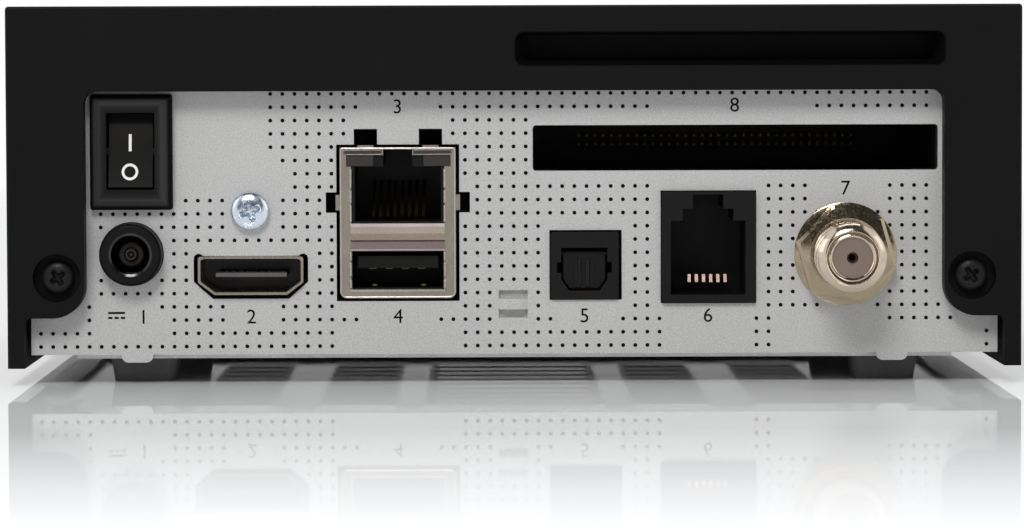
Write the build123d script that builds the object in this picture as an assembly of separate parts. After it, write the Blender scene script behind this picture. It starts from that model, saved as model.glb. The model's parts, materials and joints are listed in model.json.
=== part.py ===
"""Satellite tv receiver: a small set-top box with its sockets, switch and tuner in the back.

Millimetres. +X runs to the right as one faces the socket side, +Y points from
the sockets to the front fascia, and +Z is up. The origin is on the table under
the middle of the object.
"""
from build123d import *
import math
import os

# Overall size
WIDTH = 143.0
TOP_Z = 53.5
SKIRT_Z = 2.5                 # lower edge of the cover, above the table
LENGTH = 117.0                # from the tip of the antenna connector to the standby button
BACK_Y = -49.5                # rear edge of the cover
FASCIA_Y = 57.9               # front face of the fascia
SEAM_Y = 46.5                 # joint between the cover and the fascia
WALL = 2.4                    # cover and fascia wall
HALF = WIDTH / 2
FIT = 0.3                     # air between pieces that move past each other
EDGE_ROUND, EDGE_BEVEL = 0.5, 0.3
WINDOW_MARGIN = 3.0           # rim behind the smoked window, at its ends
TONGUE_FOOT_Z = 18.0          # lower end of the fascia's tongue
TONGUE_WALL, TONGUE_LONG = 1.4, 3.0
BOSS_RADIUS = 3.2

# Rear panel and tray
PANEL_Y = -46.0               # outer face of the panel, inside the cover's frame
SHEET = 0.8
PANEL_IN = PANEL_Y + SHEET
PANEL_HALF = 68.5
PANEL_LOW, PANEL_HIGH = 4.2, 43.6
TRAY_LOW = PANEL_LOW - SHEET
TRAY_HALF = 68.3
TRAY_NOTCH_X, TRAY_NOTCH_Y = 62.4, -30.0    # rear corners cut away beside the cover screws
TRAY_REAR = -42.0             # the panel's flange reaches further back, over this edge
TRAY_WALL_Z = 16.0
TRAY_FRONT = 46.2
VENT_COLUMNS = {0.0: 24.0, 22.7: 9.6, 40.0: 9.6}       # middle of each column of slots, and their width
VENT_GAP, VENT_PITCH, VENT_ROWS = 3.2, 8.5, 8
PANEL_FLANGE_HALF, PANEL_FLANGE_DEEP = 60.0, 7.0
PANEL_EAR_ZS, PANEL_EAR_DEEP = (18.0, 40.0), 6.0
PANEL_TAB_X, PANEL_TAB_SIZE = 53.5, (4.5, 4.0)
LANCE_XS, LANCE_ZS = (-2.25, 1.85), ((12.0, 13.2), (9.3, 10.5))
LANCE_PATCH = ((-3.0, 2.6), (8.7, 13.8))

# The frame that the cover makes round the panel
OPENING_HALF = 60.6
OPENING_HIGH = 41.5
LOBE_Z, LOBE_RADIUS = 9.6, 4.5
SLOT_X, SLOT_Z = (0.1, 60.7), (45.0, 49.7)
SLOT_BEVEL, SLOT_CORNER = 0.15, 1.3
BAFFLE_XS, BAFFLE_YS, BAFFLE_FOOT_Z = (-1.5, 62.2), (-41.0, -39.8), 38.8
COVER_SCREW_X, COVER_SCREW_Z = 64.5, 15.3
RECESS_RADIUS, RECESS_DEPTH = 3.4, 2.3

# Feet and circuit boards
FOOT_X, FOOT_YS = 53.0, (-35.5, 36.5)
FOOT_SIZE, FOOT_SOLE = 9.6, 8.5
BOARD_Z = (9.8, 11.4)
BOARD_TOP = BOARD_Z[1]
BOARD_HALF = 64.0
BOARD_YS = (-44.6, 40.0)
POSTS = [(-60.5, -26.0), (-3.2, -35.0), (61.0, -26.0), (-60.5, 34.5), (-3.2, 34.5), (61.0, 34.5)]
FRONT_BOARD_Y = (44.4, 46.0)
BOSS_X, BOSS_ZS = 56.0, (12.5, 44.0)
SCREW_RADIUS, HEAD_RADIUS, HEAD_HEIGHT = 1.45, 2.75, 1.8

# Rocker switch
SWITCH_X, SWITCH_Z = -54.1, 33.1
BEZEL_SIZE, BEZEL_PROUD = (11.6, 16.3), 2.6
BEZEL_DROP = 0.15                        # middle of the bezel below the rocker's axis
ROCKER_WINDOW = (6.8, 10.8)
ROCKER_AXIS = (-47.2, SWITCH_Z)          # Y and Z of the rocker's trunnions
ROCKER_REACH = 5.25
ROCKER_TILT = 10.0                       # either side of the middle
ROCKER_CORNER = 6.0                      # angle of the rocker's corners above its axis, in the middle
ROCKER_DISH = 0.15                       # how far the middle of its face stands out from the axis
SEESAW_AXIS = (-37.2, SWITCH_Z)
SEESAW_TILT = 8.0
SWITCH_BODY = (8.7, 13.2)
SWITCH_BACK = -34.0
TERMINAL_END = SWITCH_BACK + 6.0
TERMINALS = ((SWITCH_Z, -36.6), (SWITCH_Z - 4.3, -37.2))    # Z and inner end of the middle and lower tab
TERMINAL_SIZE = (4.0, 0.8)
LEAD_RADIUS, LEAD_BEND = 0.8, 3.0
LEAD_DROP_Y = -9.0                       # where the leads go down to their plug
LEAD_PLUG_XS, LEAD_PLUG_YS, LEAD_PLUG_ZS = (-58.0, -50.2), (-11.5, -6.5), (15.0, 19.0)

# Power inlet
POWER_X, POWER_Z = -54.2, 18.5
POWER_NOSE, POWER_BORE, POWER_PIN = 4.4, 3.1, 1.0
POWER_TIP, POWER_FLOOR = -49.1, -38.0
POWER_BOX_XS, POWER_BOX_TOP, POWER_BOX_BACK = (-59.1, -49.3), 23.7, -33.0
POWER_ROOT = POWER_PIN - 0.3
POWER_ROOT_END = -35.0

# Video jack, with the screw that holds its tab to the panel
VIDEO_X = -37.35
VIDEO_SIZE, VIDEO_Z = (14.9, 5.4), 12.7
VIDEO_YS = (-46.9, -36.0)
VIDEO_ROOF_Y = -45.4          # front edge of the sleeve's top, behind the panel's face
VIDEO_SCREW = (-37.4, 24.55)
VIDEO_TONGUE_XS, VIDEO_TONGUE_ZS = (-42.35, -32.3), (15.2, 15.75)

# Network jack stacked on a data jack
STACK_XS, STACK_ZS = (-24.7, -8.3), (12.15, 33.5)
STACK_BEVEL = 0.7             # cut lower corners of the shield
STACK_YS = (-46.4, -24.4)
FOIL = 0.3
NET_XS, NET_ZS = (-23.1, -9.9), (22.7, 30.8)
LATCH_XS, LATCH_TOP = (-18.55, -14.45), 33.2
DATA_XS, DATA_ZS = (-23.1, -10.0), (13.4, 18.85)
LAMP_XS, LAMP_ZS = (-23.8, -9.0), (30.8, 32.4)
LAMP_WIDTH = 3.9
LAMP_BACK = -40.0
FINGER_XS = (-21.05, -11.85)  # middles of the two spring fingers on top
SIDE_FINGER_Z = 25.7
STACK_FLOOR = -33.0           # back of both jacks' contacts

# Sprung contacts of the network and serial jacks
CONTACT_PITCH, CONTACT_WIDE, CONTACT_THICK = 1.02, 0.45, 0.3

# Optical jack
OPTIC_XS, OPTIC_ZS = (5.1, 14.75), (11.9, 21.45)
OPTIC_YS = (-46.4, -33.0)
OPTIC_MOUTH_X, OPTIC_MOUTH_ZS = (6.6, 13.15), (13.1, 19.2)
SHUTTER_AXIS = (-45.0, 18.45)
SHUTTER_RIB_ZS = (13.6, 17.6)

# Six-way serial jack
SERIAL_XS, SERIAL_ZS = (20.85, 34.1), (11.4, 27.1)
SERIAL_YS = (-46.7, -29.0)
SERIAL_X = 27.4
SERIAL_STEPS = ((10.6, (12.5, 23.0)), (7.2, (22.9, 24.7)), (4.3, (24.6, 26.7)))   # width and Z of each step

# Tuner and antenna connector
TUNER_XS, TUNER_ZS = (36.5, 57.4), (12.4, 26.6)
TUNER_YS = (PANEL_IN, -2.0)
TUNER_SHEET = 0.5
ANTENNA_X, ANTENNA_Z = 46.9, 18.2
ANTENNA_TIP = -LENGTH / 2
ANTENNA_RADIUS, ANTENNA_NECK = 4.76, 4.5
NUT_FLATS, NUT_YS = 12.7, (-49.2, -46.6)
NUT_TURN = -14
WASHER_RADIUS = 7.3
CORE_RADIUS, CONTACT_RADIUS = 2.8, 0.95
CORE_HOLE, CORE_WALL = 0.8, 1.2          # hole in the insulator's end wall, and that wall's thickness

# Card slot
CARD_XS, CARD_ZS = (2.6, 60.0), (30.1, 36.55)
GUIDE_XS, GUIDE_ZS = (0.8, 61.7), (28.9, 37.3)
GUIDE_YS = (PANEL_IN, 14.0)
HEADER_Y = 24.0
PIN_PITCH, PIN_COLUMNS = 1.27, 34
PIN_SIZE, PIN_REACH = 0.45, 6.5
PIN_ZS = (32.65, 33.95)
CARD_LID = 0.5

# Front
WINDOW_HALF, WINDOW_ZS, WINDOW_DEPTH = 34.0, (17.0, 39.0), 1.2
BUTTON_X, BUTTON_Z, BUTTON_RADIUS = 50.0, 26.0, 5.3
LAMP_Z = 38.0
CAP_BACK_Y = 54.3             # inner face of the standby button's collar


def block(xs, ys, zs):
    """Box between two values on each axis."""
    middle = [(a + b) / 2 for a, b in (xs, ys, zs)]
    return Pos(*middle) * Box(xs[1] - xs[0], ys[1] - ys[0], zs[1] - zs[0])


def around(middle, size):
    """The two ends of a span of this size."""
    return (middle - size / 2, middle + size / 2)


def rod_y(x, z, radius, ys):
    """Cylinder along Y."""
    return Pos(x, sum(ys) / 2, z) * Rot(90, 0, 0) * Cylinder(radius, ys[1] - ys[0])


def rod_x(y, z, radius, xs):
    """Cylinder along X."""
    return Pos(sum(xs) / 2, y, z) * Rot(0, 90, 0) * Cylinder(radius, xs[1] - xs[0])


def rod_z(x, y, radius, zs):
    """Cylinder along Z."""
    return Pos(x, y, sum(zs) / 2) * Cylinder(radius, zs[1] - zs[0])


def prism_y(sketch, ys):
    """Solid along Y from a sketch whose own x and y are X and Z."""
    return extrude(Plane.XZ.offset(-ys[1]) * sketch, ys[1] - ys[0])


def prism_x(sketch, xs):
    """Solid along X from a sketch whose own x and y are Y and Z."""
    return extrude(Plane.YZ.offset(xs[0]) * sketch, xs[1] - xs[0])


def outline(*points):
    """Flat face inside a closed line of straight runs."""
    return make_face(Polyline(*points, close=True))


def slab(xs, zs, ys, radius):
    """Plate facing Y with rounded corners."""
    shape = RectangleRounded(xs[1] - xs[0], zs[1] - zs[0], radius)
    return prism_y(Pos(sum(xs) / 2, sum(zs) / 2) * shape, ys)


def corner(shape, x, y):
    """The corner of a sketch that is nearest to a point."""
    return shape.vertices().sort_by_distance((x, y, 0))[0]


def screw_y(x, z, face_y, length, head_radius=HEAD_RADIUS, head_height=HEAD_HEIGHT):
    """Pan-head cross screw going in along +Y, with its head on face_y."""
    head = rod_y(x, z, head_radius, (face_y - head_height, face_y))
    head = fillet(head.edges().sort_by(Axis.Y)[0], head_height * 0.55)
    shank = rod_y(x, z, SCREW_RADIUS, (face_y, face_y + length))
    cross = head_cross(x, z, face_y - head_height, head_radius)
    return head + shank - cross


def head_cross(x, z, y, head_radius):
    """Cross-shaped pocket in a screw head that faces -Y."""
    arm, reach, depth = 0.5, head_radius * 1.1, 1.1
    pocket = Box(reach, depth * 2, arm) + Box(arm, depth * 2, reach)
    return Pos(x, y, z) * pocket


# Housing

def frame_opening():
    """Opening of the cover's rear frame: panel window above, wider foot gap below."""
    high, low = OPENING_HIGH, SKIRT_Z - 1
    inner = HALF - WALL
    shape = outline((-OPENING_HALF, high), (OPENING_HALF, high), (OPENING_HALF, LOBE_Z), (inner, LOBE_Z),
                    (inner, low), (-inner, low), (-inner, LOBE_Z), (-OPENING_HALF, LOBE_Z))
    for side in (-1, 1):
        shape = fillet(corner(shape, side * OPENING_HALF, high), 1.7)
        shape = fillet(corner(shape, side * OPENING_HALF, LOBE_Z), LOBE_RADIUS)
        shape = fillet(corner(shape, side * inner, LOBE_Z), 0.9)
    return shape


def top_cover():
    """Black cover: roof, both sides and the frame round the rear panel."""
    body = block((-HALF, HALF), (BACK_Y, SEAM_Y), (SKIRT_Z, TOP_Z))
    roof_edges = body.edges().filter_by(Axis.Y).sort_by(Axis.Z)[-2:]
    body = fillet(roof_edges, EDGE_ROUND)
    body = chamfer(body.faces().sort_by(Axis.Y)[0].edges(), EDGE_BEVEL)
    inner = HALF - WALL
    body -= block((-inner, inner), (PANEL_Y, SEAM_Y + 1), (SKIRT_Z - 1, TOP_Z - WALL))
    body -= prism_y(frame_opening(), (BACK_Y - 1, PANEL_Y + 1))
    body -= vent_slot(0.0, (BACK_Y - 1, PANEL_Y + 1))
    body -= vent_slot(SLOT_BEVEL, (BACK_Y - 1, BACK_Y + SLOT_BEVEL))
    body += block(BAFFLE_XS, BAFFLE_YS, (BAFFLE_FOOT_Z, TOP_Z - WALL + 0.1))
    for side in (-1, 1):
        x = side * COVER_SCREW_X
        body -= rod_y(x, COVER_SCREW_Z, RECESS_RADIUS, (BACK_Y - 1, BACK_Y + RECESS_DEPTH))
        body -= rod_y(x, COVER_SCREW_Z, 1.7, (BACK_Y, PANEL_Y + 1))
    return body


def vent_slot(grow, ys):
    """Long slot with rounded corners in the bar above the panel."""
    xs = (SLOT_X[0] - grow, SLOT_X[1] + grow)
    zs = (SLOT_Z[0] - grow, SLOT_Z[1] + grow)
    return slab(xs, zs, ys, SLOT_CORNER + grow)


def front_fascia():
    """Glossy front moulding, open at the back, with a tongue that plugs into the cover."""
    inner = HALF - WALL
    inside = FASCIA_Y - WALL
    body = block((-HALF, HALF), (SEAM_Y, FASCIA_Y), (SKIRT_Z, TOP_Z))
    body = fillet(body.edges().filter_by(Axis.Y), EDGE_ROUND)
    body = fillet(body.faces().sort_by(Axis.Y)[-1].edges(), EDGE_ROUND * 0.9)
    body -= block((-inner, inner), (SEAM_Y - 1, inside), (SKIRT_Z + WALL, TOP_Z - WALL))
    outer = inner - 0.2
    core = outer - TONGUE_WALL
    roof = TOP_Z - WALL
    tongue_in = block((-core, core), (SEAM_Y - TONGUE_LONG - 1, SEAM_Y + 3), (TONGUE_FOOT_Z - 1, roof - 1.6))
    tongue_out = block((-outer, outer), (SEAM_Y - TONGUE_LONG, SEAM_Y + 2), (TONGUE_FOOT_Z, roof - 0.2))
    body += tongue_out - tongue_in
    body += block((-inner, inner), (SEAM_Y, SEAM_Y + 2), (TONGUE_FOOT_Z, roof)) - tongue_in
    body -= block((-WINDOW_HALF - 0.1, WINDOW_HALF + 0.1), (FASCIA_Y - WINDOW_DEPTH, FASCIA_Y + 1),
                  (WINDOW_ZS[0] - 0.1, WINDOW_ZS[1] + 0.1))
    light = WINDOW_HALF - WINDOW_MARGIN
    body -= block((-light, light), (inside - 1, FASCIA_Y), (WINDOW_ZS[0] + 2.5, WINDOW_ZS[1] - 2.5))
    body -= rod_y(BUTTON_X, BUTTON_Z, BUTTON_RADIUS + FIT, (inside - 1, FASCIA_Y + 1))
    body -= rod_y(BUTTON_X, LAMP_Z, 1.1, (inside - 1, FASCIA_Y + 1))
    for x in (-BOSS_X, BOSS_X):
        for z in BOSS_ZS:
            body += rod_y(x, z, BOSS_RADIUS, (FRONT_BOARD_Y[1], inside))
            body -= rod_y(x, z, SCREW_RADIUS + 0.05, (FRONT_BOARD_Y[1] - 1, inside - 2))
    return body


def fascia_window():
    """Smoked plate in front of the display."""
    return slab((-WINDOW_HALF, WINDOW_HALF), WINDOW_ZS, (FASCIA_Y - WINDOW_DEPTH, FASCIA_Y), 0.3)


def base_tray():
    """Sheet steel tray with low side walls and rows of cooling slots."""
    tray = block((-TRAY_HALF, TRAY_HALF), (TRAY_REAR, TRAY_FRONT), (TRAY_LOW, PANEL_LOW))
    for side in (-1, 1):
        xs = sorted((side * TRAY_HALF, side * (TRAY_HALF - SHEET)))
        tray += block(xs, (TRAY_REAR, SEAM_Y - 3.2), (PANEL_LOW, TRAY_WALL_Z))
        for column, width in VENT_COLUMNS.items():
            for row in range(VENT_ROWS):
                ys = around((row - (VENT_ROWS - 1) / 2) * VENT_PITCH, VENT_GAP)
                tray -= block(around(side * column, width), ys, (TRAY_LOW - 1, PANEL_LOW + 1))
        corner = sorted((side * TRAY_NOTCH_X, side * (TRAY_HALF + 1)))
        tray -= block(corner, (TRAY_REAR - 1, TRAY_NOTCH_Y), (TRAY_LOW - 1, TRAY_WALL_Z + 1))
    return tray


def foot(x, y):
    """Square rubber foot stuck under the tray, narrower at its sole."""
    root = Pos(x, y, TRAY_LOW) * RectangleRounded(FOOT_SIZE, FOOT_SIZE, 1.2)
    sole = Pos(x, y, 0) * RectangleRounded(FOOT_SOLE, FOOT_SOLE, 1.0)
    return loft([sole, root])


def feet(y):
    """The pair of feet at this distance along the tray."""
    return Compound([foot(side * FOOT_X, y).solid() for side in (-1, 1)])


def rear_panel():
    """Sheet steel panel with a cut-out for every socket."""
    panel = block((-PANEL_HALF, PANEL_HALF), (PANEL_Y, PANEL_IN), (PANEL_LOW, PANEL_HIGH))
    flange = (-PANEL_FLANGE_HALF, PANEL_FLANGE_HALF)
    panel += block(flange, (PANEL_IN, PANEL_IN + PANEL_FLANGE_DEEP), (PANEL_LOW, PANEL_LOW + SHEET))
    for side in (-1, 1):
        ear = sorted((side * PANEL_HALF, side * (PANEL_HALF - SHEET)))
        panel += block(ear, (PANEL_IN, PANEL_IN + PANEL_EAR_DEEP), PANEL_EAR_ZS)
        tab = RectangleRounded(*PANEL_TAB_SIZE, 1.0)
        panel += prism_y(Pos(side * PANEL_TAB_X, PANEL_LOW + 0.9) * tab, (PANEL_Y, PANEL_IN))
        panel -= rod_y(side * COVER_SCREW_X, COVER_SCREW_Z, SCREW_RADIUS + 0.05, through())
    panel -= block(around(SWITCH_X, SWITCH_BODY[0] + 0.2), through(), around(SWITCH_Z, SWITCH_BODY[1] + 0.2))
    panel -= rod_y(POWER_X, POWER_Z, POWER_NOSE + 0.15, through())
    panel -= prism_y(video_cutout(), through())
    panel -= rod_y(*VIDEO_SCREW, SCREW_RADIUS + 0.2, through())
    panel -= stack_cutout()
    panel -= block((OPTIC_XS[0] - 0.16, OPTIC_XS[1] + 0.44), through(), (11.8, OPTIC_ZS[1] + 0.25))
    panel -= block((SERIAL_XS[0] - 0.15, SERIAL_XS[1] + 0.15), through(), (11.25, SERIAL_ZS[1] + 0.15))
    panel -= rod_y(ANTENNA_X, ANTENNA_Z, ANTENNA_NECK + 0.1, through())
    panel -= slab(CARD_XS, CARD_ZS, through(), 0.5)
    patch_xs, patch_zs = LANCE_PATCH
    panel = panel - lance_slits() + lance_bridge()
    return panel + block(patch_xs, (PANEL_IN, PANEL_IN + 0.4), patch_zs)


def through():
    """A span along Y that runs past both faces of the panel."""
    return (PANEL_Y - 1, PANEL_IN + 0.3)


def video_cutout():
    """Window round the video jack, with an ear at each upper corner."""
    half, ear = 8.1, 0.7
    shape = outline((VIDEO_X - half, 18.2), (VIDEO_X + half, 18.2), (VIDEO_X + half, 14.5),
                    (VIDEO_X + 5.4, 12.1), (VIDEO_X - 5.4, 12.1), (VIDEO_X - half, 14.5))
    for side in (-1, 1):
        shape = fillet(corner(shape, VIDEO_X + side * half, 18.2), 0.5)
        shape += Pos(VIDEO_X + side * (half - ear), 17.8) * Circle(ear)
    return shape


def stack_cutout():
    """Window round the stacked jacks, with notches for the shield's spring fingers."""
    xs = (STACK_XS[0] - 0.5, STACK_XS[1] + 0.5)
    window = block(xs, through(), (STACK_ZS[0] - 0.45, STACK_ZS[1] + 0.4))
    for middle in FINGER_XS:
        window += block(around(middle, 3.3), through(), (33.0, 36.1))
    return window + block((xs[0] - 1.5, xs[1] + 1.5), through(), around(SIDE_FINGER_Z, 2.9))


def lance_slits():
    """Two short slits that leave a bridge of sheet between them."""
    upper, lower = LANCE_ZS
    return block(LANCE_XS, through(), upper) + block(LANCE_XS, through(), lower)


def lance_bridge():
    """The bridge between the slits, pushed a little out of the panel."""
    left, right = LANCE_XS
    bow = outline((left, 0), (left + 1.05, -0.55), (right - 1.05, -0.55), (right, 0))
    low, high = LANCE_ZS[1][1], LANCE_ZS[0][0]
    return Pos(0, PANEL_Y, low) * extrude(bow, high - low)


# Rocker switch

def rocker_point(radius, angle):
    """A point in Y and Z at this angle above the trunnions, as the rocker stands at rest."""
    turn = math.radians(angle)
    return (ROCKER_AXIS[0] - radius * math.sin(turn), ROCKER_AXIS[1] + radius * math.cos(turn))


def switch_body():
    """Bezel and box of the rocker switch, moulded as one piece."""
    front = PANEL_Y - BEZEL_PROUD
    wide, high = BEZEL_SIZE
    bezel = block(around(SWITCH_X, wide), (front, PANEL_Y), around(SWITCH_Z - BEZEL_DROP, high))
    bezel = chamfer(bezel.faces().sort_by(Axis.Y)[0].edges(), 1.3)
    bezel = fillet(bezel.edges().filter_by(Axis.Y), 0.35)
    wide, high = SWITCH_BODY
    body = bezel + block(around(SWITCH_X, wide), (PANEL_Y, SWITCH_BACK), around(SWITCH_Z, high))
    wide, high = ROCKER_WINDOW
    body -= block(around(SWITCH_X, wide), (front - 1, SWITCH_BACK - 1.2), around(SWITCH_Z, high))
    body -= rod_x(*ROCKER_AXIS, 0.9, around(SWITCH_X, ROCKER_WINDOW[0] + 1.6))
    wide, high = TERMINAL_SIZE
    for z, _ in TERMINALS:
        body -= block(around(SWITCH_X, wide), (SWITCH_BACK - 2, SWITCH_BACK + 1), around(z, high))
    return body


def switch_rocker():
    """Rocker with a dished face; it rests with its upper half pressed in."""
    tilt = -ROCKER_TILT
    lower, upper = 180 - ROCKER_CORNER + tilt, ROCKER_CORNER + tilt
    face_mid = rocker_point(ROCKER_DISH, 90 + tilt)
    top, bottom = rocker_point(ROCKER_REACH, upper), rocker_point(ROCKER_REACH, lower)
    top_in, bottom_in = rocker_point(ROCKER_REACH, upper - 28), rocker_point(ROCKER_REACH, lower + 28)
    face = ThreePointArc(bottom, face_mid, top)
    top_end = ThreePointArc(top, rocker_point(ROCKER_REACH, upper - 14), top_in)
    bottom_end = ThreePointArc(bottom_in, rocker_point(ROCKER_REACH, lower + 14), bottom)
    back = Polyline(top_in, rocker_local(1.9, -3.2), rocker_local(1.9, -6.0), rocker_local(-1.9, -6.0),
                    rocker_local(-1.9, -3.2), bottom_in)
    profile = make_face([face, top_end, back, bottom_end])
    half = ROCKER_WINDOW[0] / 2 - FIT
    rocker = prism_x(profile, (SWITCH_X - half, SWITCH_X + half))
    rocker += rod_x(*ROCKER_AXIS, 0.6, (SWITCH_X - half - 0.75, SWITCH_X - half))
    rocker += rod_x(*ROCKER_AXIS, 0.6, (SWITCH_X + half, SWITCH_X + half + 0.75))
    return rocker - plunger_rod(1.1, (-6.5, -2.6))


def rocker_local(up, out):
    """Y and Z of a point that is this far up and out from the trunnions, with the rest tilt."""
    turn = math.radians(ROCKER_TILT)
    y = ROCKER_AXIS[0] - (out * math.cos(turn) - up * math.sin(turn))
    z = ROCKER_AXIS[1] + up * math.cos(turn) + out * math.sin(turn)
    return (y, z)


def plunger_rod(radius, outs):
    """Rod along the rocker's own inward direction."""
    rod = Rot(90, 0, 0) * Cylinder(radius, outs[1] - outs[0])
    placed = Pos(0, -sum(outs) / 2, 0) * rod
    return Pos(SWITCH_X, *ROCKER_AXIS) * Rot(-ROCKER_TILT, 0, 0) * placed


def switch_plunger():
    """Round-nosed pin that the rocker drags along the seesaw contact."""
    pin = plunger_rod(1.0, (-9.2, -4.6))
    return fillet(pin.edges().sort_by(Axis.Y)[-1], 0.9)


def switch_spring():
    """Small compression spring behind the plunger."""
    coil = Helix(pitch=0.55, height=1.4, radius=0.72)
    wire = sweep(Plane(coil @ 0, z_dir=coil % 0) * Circle(0.15), path=coil)
    placed = Pos(0, 4.4, 0) * Rot(90, 0, 0) * wire
    return Pos(SWITCH_X, *ROCKER_AXIS) * Rot(-ROCKER_TILT, 0, 0) * placed


def switch_terminals():
    """Two flat tabs out of the back of the switch; the middle one carries the seesaw."""
    wide, high = TERMINAL_SIZE
    tabs = []
    for z, inner in TERMINALS:
        tabs.append(block(around(SWITCH_X, wide), (inner, TERMINAL_END), around(z, high)))
    return Compound(tabs)


def switch_seesaw():
    """Bent copper strip that rocks on the middle terminal and meets the lower one."""
    y, z = SEESAW_AXIS
    strip = trace(Polyline((y - 1.1, z + 3.9), (y, z), (y - 1.1, z - 3.9)), 0.45)
    arm = prism_x(strip, around(SWITCH_X, 3.0)) + rod_x(y, z, 0.4, around(SWITCH_X, 3.0))
    return Pos(0, y, z) * Rot(SEESAW_TILT, 0, 0) * Pos(0, -y, -z) * arm


def lead(x, start_z, reach):
    """Insulated lead from a switch terminal down to its plug on the board."""
    start, turn = (x, TERMINAL_END, start_z), (x, TERMINAL_END + reach, start_z)
    end = (x, LEAD_DROP_Y, LEAD_PLUG_ZS[1])
    path = FilletPolyline(start, turn, (x, LEAD_DROP_Y, end[2] + 6), end, radius=[LEAD_BEND, LEAD_BEND])
    return sweep(Plane(path @ 0, z_dir=path % 0) * Circle(LEAD_RADIUS), path=path)


def lead_plug():
    """Plug on the ends of the two leads."""
    return block(LEAD_PLUG_XS, LEAD_PLUG_YS, LEAD_PLUG_ZS)


def lead_header():
    """Socket on the board for the lead plug."""
    xs = (LEAD_PLUG_XS[0] - 0.5, LEAD_PLUG_XS[1] + 0.5)
    ys = (LEAD_PLUG_YS[0] - 0.5, LEAD_PLUG_YS[1] + 0.5)
    return block(xs, ys, (BOARD_TOP, LEAD_PLUG_ZS[0]))


# Sockets

def power_jack_body():
    """Black inlet: a round nose through the panel and a box on the board."""
    nose = rod_y(POWER_X, POWER_Z, POWER_NOSE, (POWER_TIP, PANEL_IN))
    nose = fillet(nose.edges().sort_by(Axis.Y)[0], 0.5)
    body = nose + block(POWER_BOX_XS, (PANEL_IN, POWER_BOX_BACK), (BOARD_TOP, POWER_BOX_TOP))
    body -= rod_y(POWER_X, POWER_Z, POWER_BORE, (POWER_TIP - 1, POWER_FLOOR))
    return body - rod_y(POWER_X, POWER_Z, POWER_ROOT, (POWER_FLOOR - 1, POWER_ROOT_END))


def power_jack_pin():
    """Centre pin of the inlet."""
    pin = rod_y(POWER_X, POWER_Z, POWER_PIN, (POWER_TIP + 1.6, POWER_FLOOR))
    pin = chamfer(pin.edges().sort_by(Axis.Y)[0], 0.25)
    return pin + rod_y(POWER_X, POWER_Z, POWER_ROOT, (POWER_FLOOR, POWER_ROOT_END))


def power_jack_spring():
    """Contact strip along the floor of the inlet's bore."""
    z = POWER_Z - POWER_BORE + 0.4
    return block(around(POWER_X, 1.6), (POWER_TIP + 3.0, POWER_FLOOR), around(z, 0.25))


def video_outline(inset):
    """The jack's six-sided outline: flat top, slanted lower corners."""
    half, low, high = VIDEO_SIZE[0] / 2 - inset, VIDEO_Z + inset, VIDEO_Z + VIDEO_SIZE[1] - inset
    foot_half, knee = 5.15 - inset * 0.4, 14.45 + inset * 0.4
    shape = outline((VIDEO_X - half, high), (VIDEO_X + half, high), (VIDEO_X + half, knee),
                    (VIDEO_X + foot_half, low), (VIDEO_X - foot_half, low), (VIDEO_X - half, knee))
    return fillet(shape.vertices(), 0.35)


def video_jack_shroud():
    """Folded metal sleeve of the video jack, with its screw tab."""
    sleeve = prism_y(video_outline(0), VIDEO_YS)
    sleeve -= prism_y(video_outline(0.35), (VIDEO_YS[0] - 1, VIDEO_YS[1] + 1))
    top = VIDEO_Z + VIDEO_SIZE[1]
    roof = around(VIDEO_X, VIDEO_SIZE[0] - 1.6)
    sleeve -= block(roof, (VIDEO_YS[0] - 1, VIDEO_ROOF_Y), (top - 0.36, top + 1))
    tab = block(around(VIDEO_X, 8.0), (PANEL_IN, PANEL_IN + 0.9), (top - 0.2, 28.4))
    tab -= rod_y(*VIDEO_SCREW, SCREW_RADIUS + 0.05, (PANEL_IN - 1, PANEL_IN + 2))
    return sleeve + tab


def video_jack_tongue():
    """Plastic base of the video jack and the tongue that carries its contacts."""
    wide, high = VIDEO_SIZE
    base = block(around(VIDEO_X, wide), (VIDEO_YS[1], VIDEO_YS[1] + 3.0), (BOARD_TOP, VIDEO_Z + high))
    return base + block(VIDEO_TONGUE_XS, (VIDEO_YS[0] + 1.3, VIDEO_YS[1] + 0.5), VIDEO_TONGUE_ZS)


def video_jack_contacts():
    """Nineteen thin contacts above and below the tongue."""
    ys = (VIDEO_YS[0] + 3.9, VIDEO_YS[1])
    low, high = VIDEO_TONGUE_ZS
    strips = [block(around(VIDEO_X + (i - 4.5), 0.45), ys, (high, high + 0.12)) for i in range(10)]
    strips += [block(around(VIDEO_X + (i - 4), 0.45), ys, (low - 0.12, low)) for i in range(9)]
    return Compound(strips)


def net_opening(ys, grow=0.0):
    """Mouth of the network jack with its stepped latch slot."""
    mouth = block((NET_XS[0] - grow, NET_XS[1] + grow), ys, (NET_ZS[0] - grow, NET_ZS[1] + 0.01))
    return mouth + block(LATCH_XS, ys, (NET_ZS[1], LATCH_TOP))


def stack_shield():
    """Tin-plated shield over both stacked jacks, with spring fingers at top and sides."""
    shield = block(STACK_XS, STACK_YS, STACK_ZS)
    shield = chamfer(shield.edges().filter_by(Axis.Y).sort_by(Axis.Z)[:2], STACK_BEVEL)
    shield -= block(*stack_inside(), (STACK_ZS[0] - 1, STACK_ZS[1] - FOIL))
    front = (STACK_YS[0] - 1, STACK_YS[0] + FOIL + 0.2)
    shield -= net_opening(front)
    shield -= block(DATA_XS, front, DATA_ZS)
    shield -= block(LAMP_XS, front, LAMP_ZS)
    shield += [finger(x) for x in FINGER_XS]
    for xs in ((STACK_XS[0] - 0.6, STACK_XS[0]), (STACK_XS[1], STACK_XS[1] + 0.6)):
        shield += block(xs, (-46.3, -45.6), around(SIDE_FINGER_Z, 2.2))
    return shield


def stack_inside():
    """X and Y spans of the space inside the shield."""
    return (STACK_XS[0] + FOIL, STACK_XS[1] - FOIL), (STACK_YS[0] + FOIL, STACK_YS[1] - FOIL)


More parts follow.
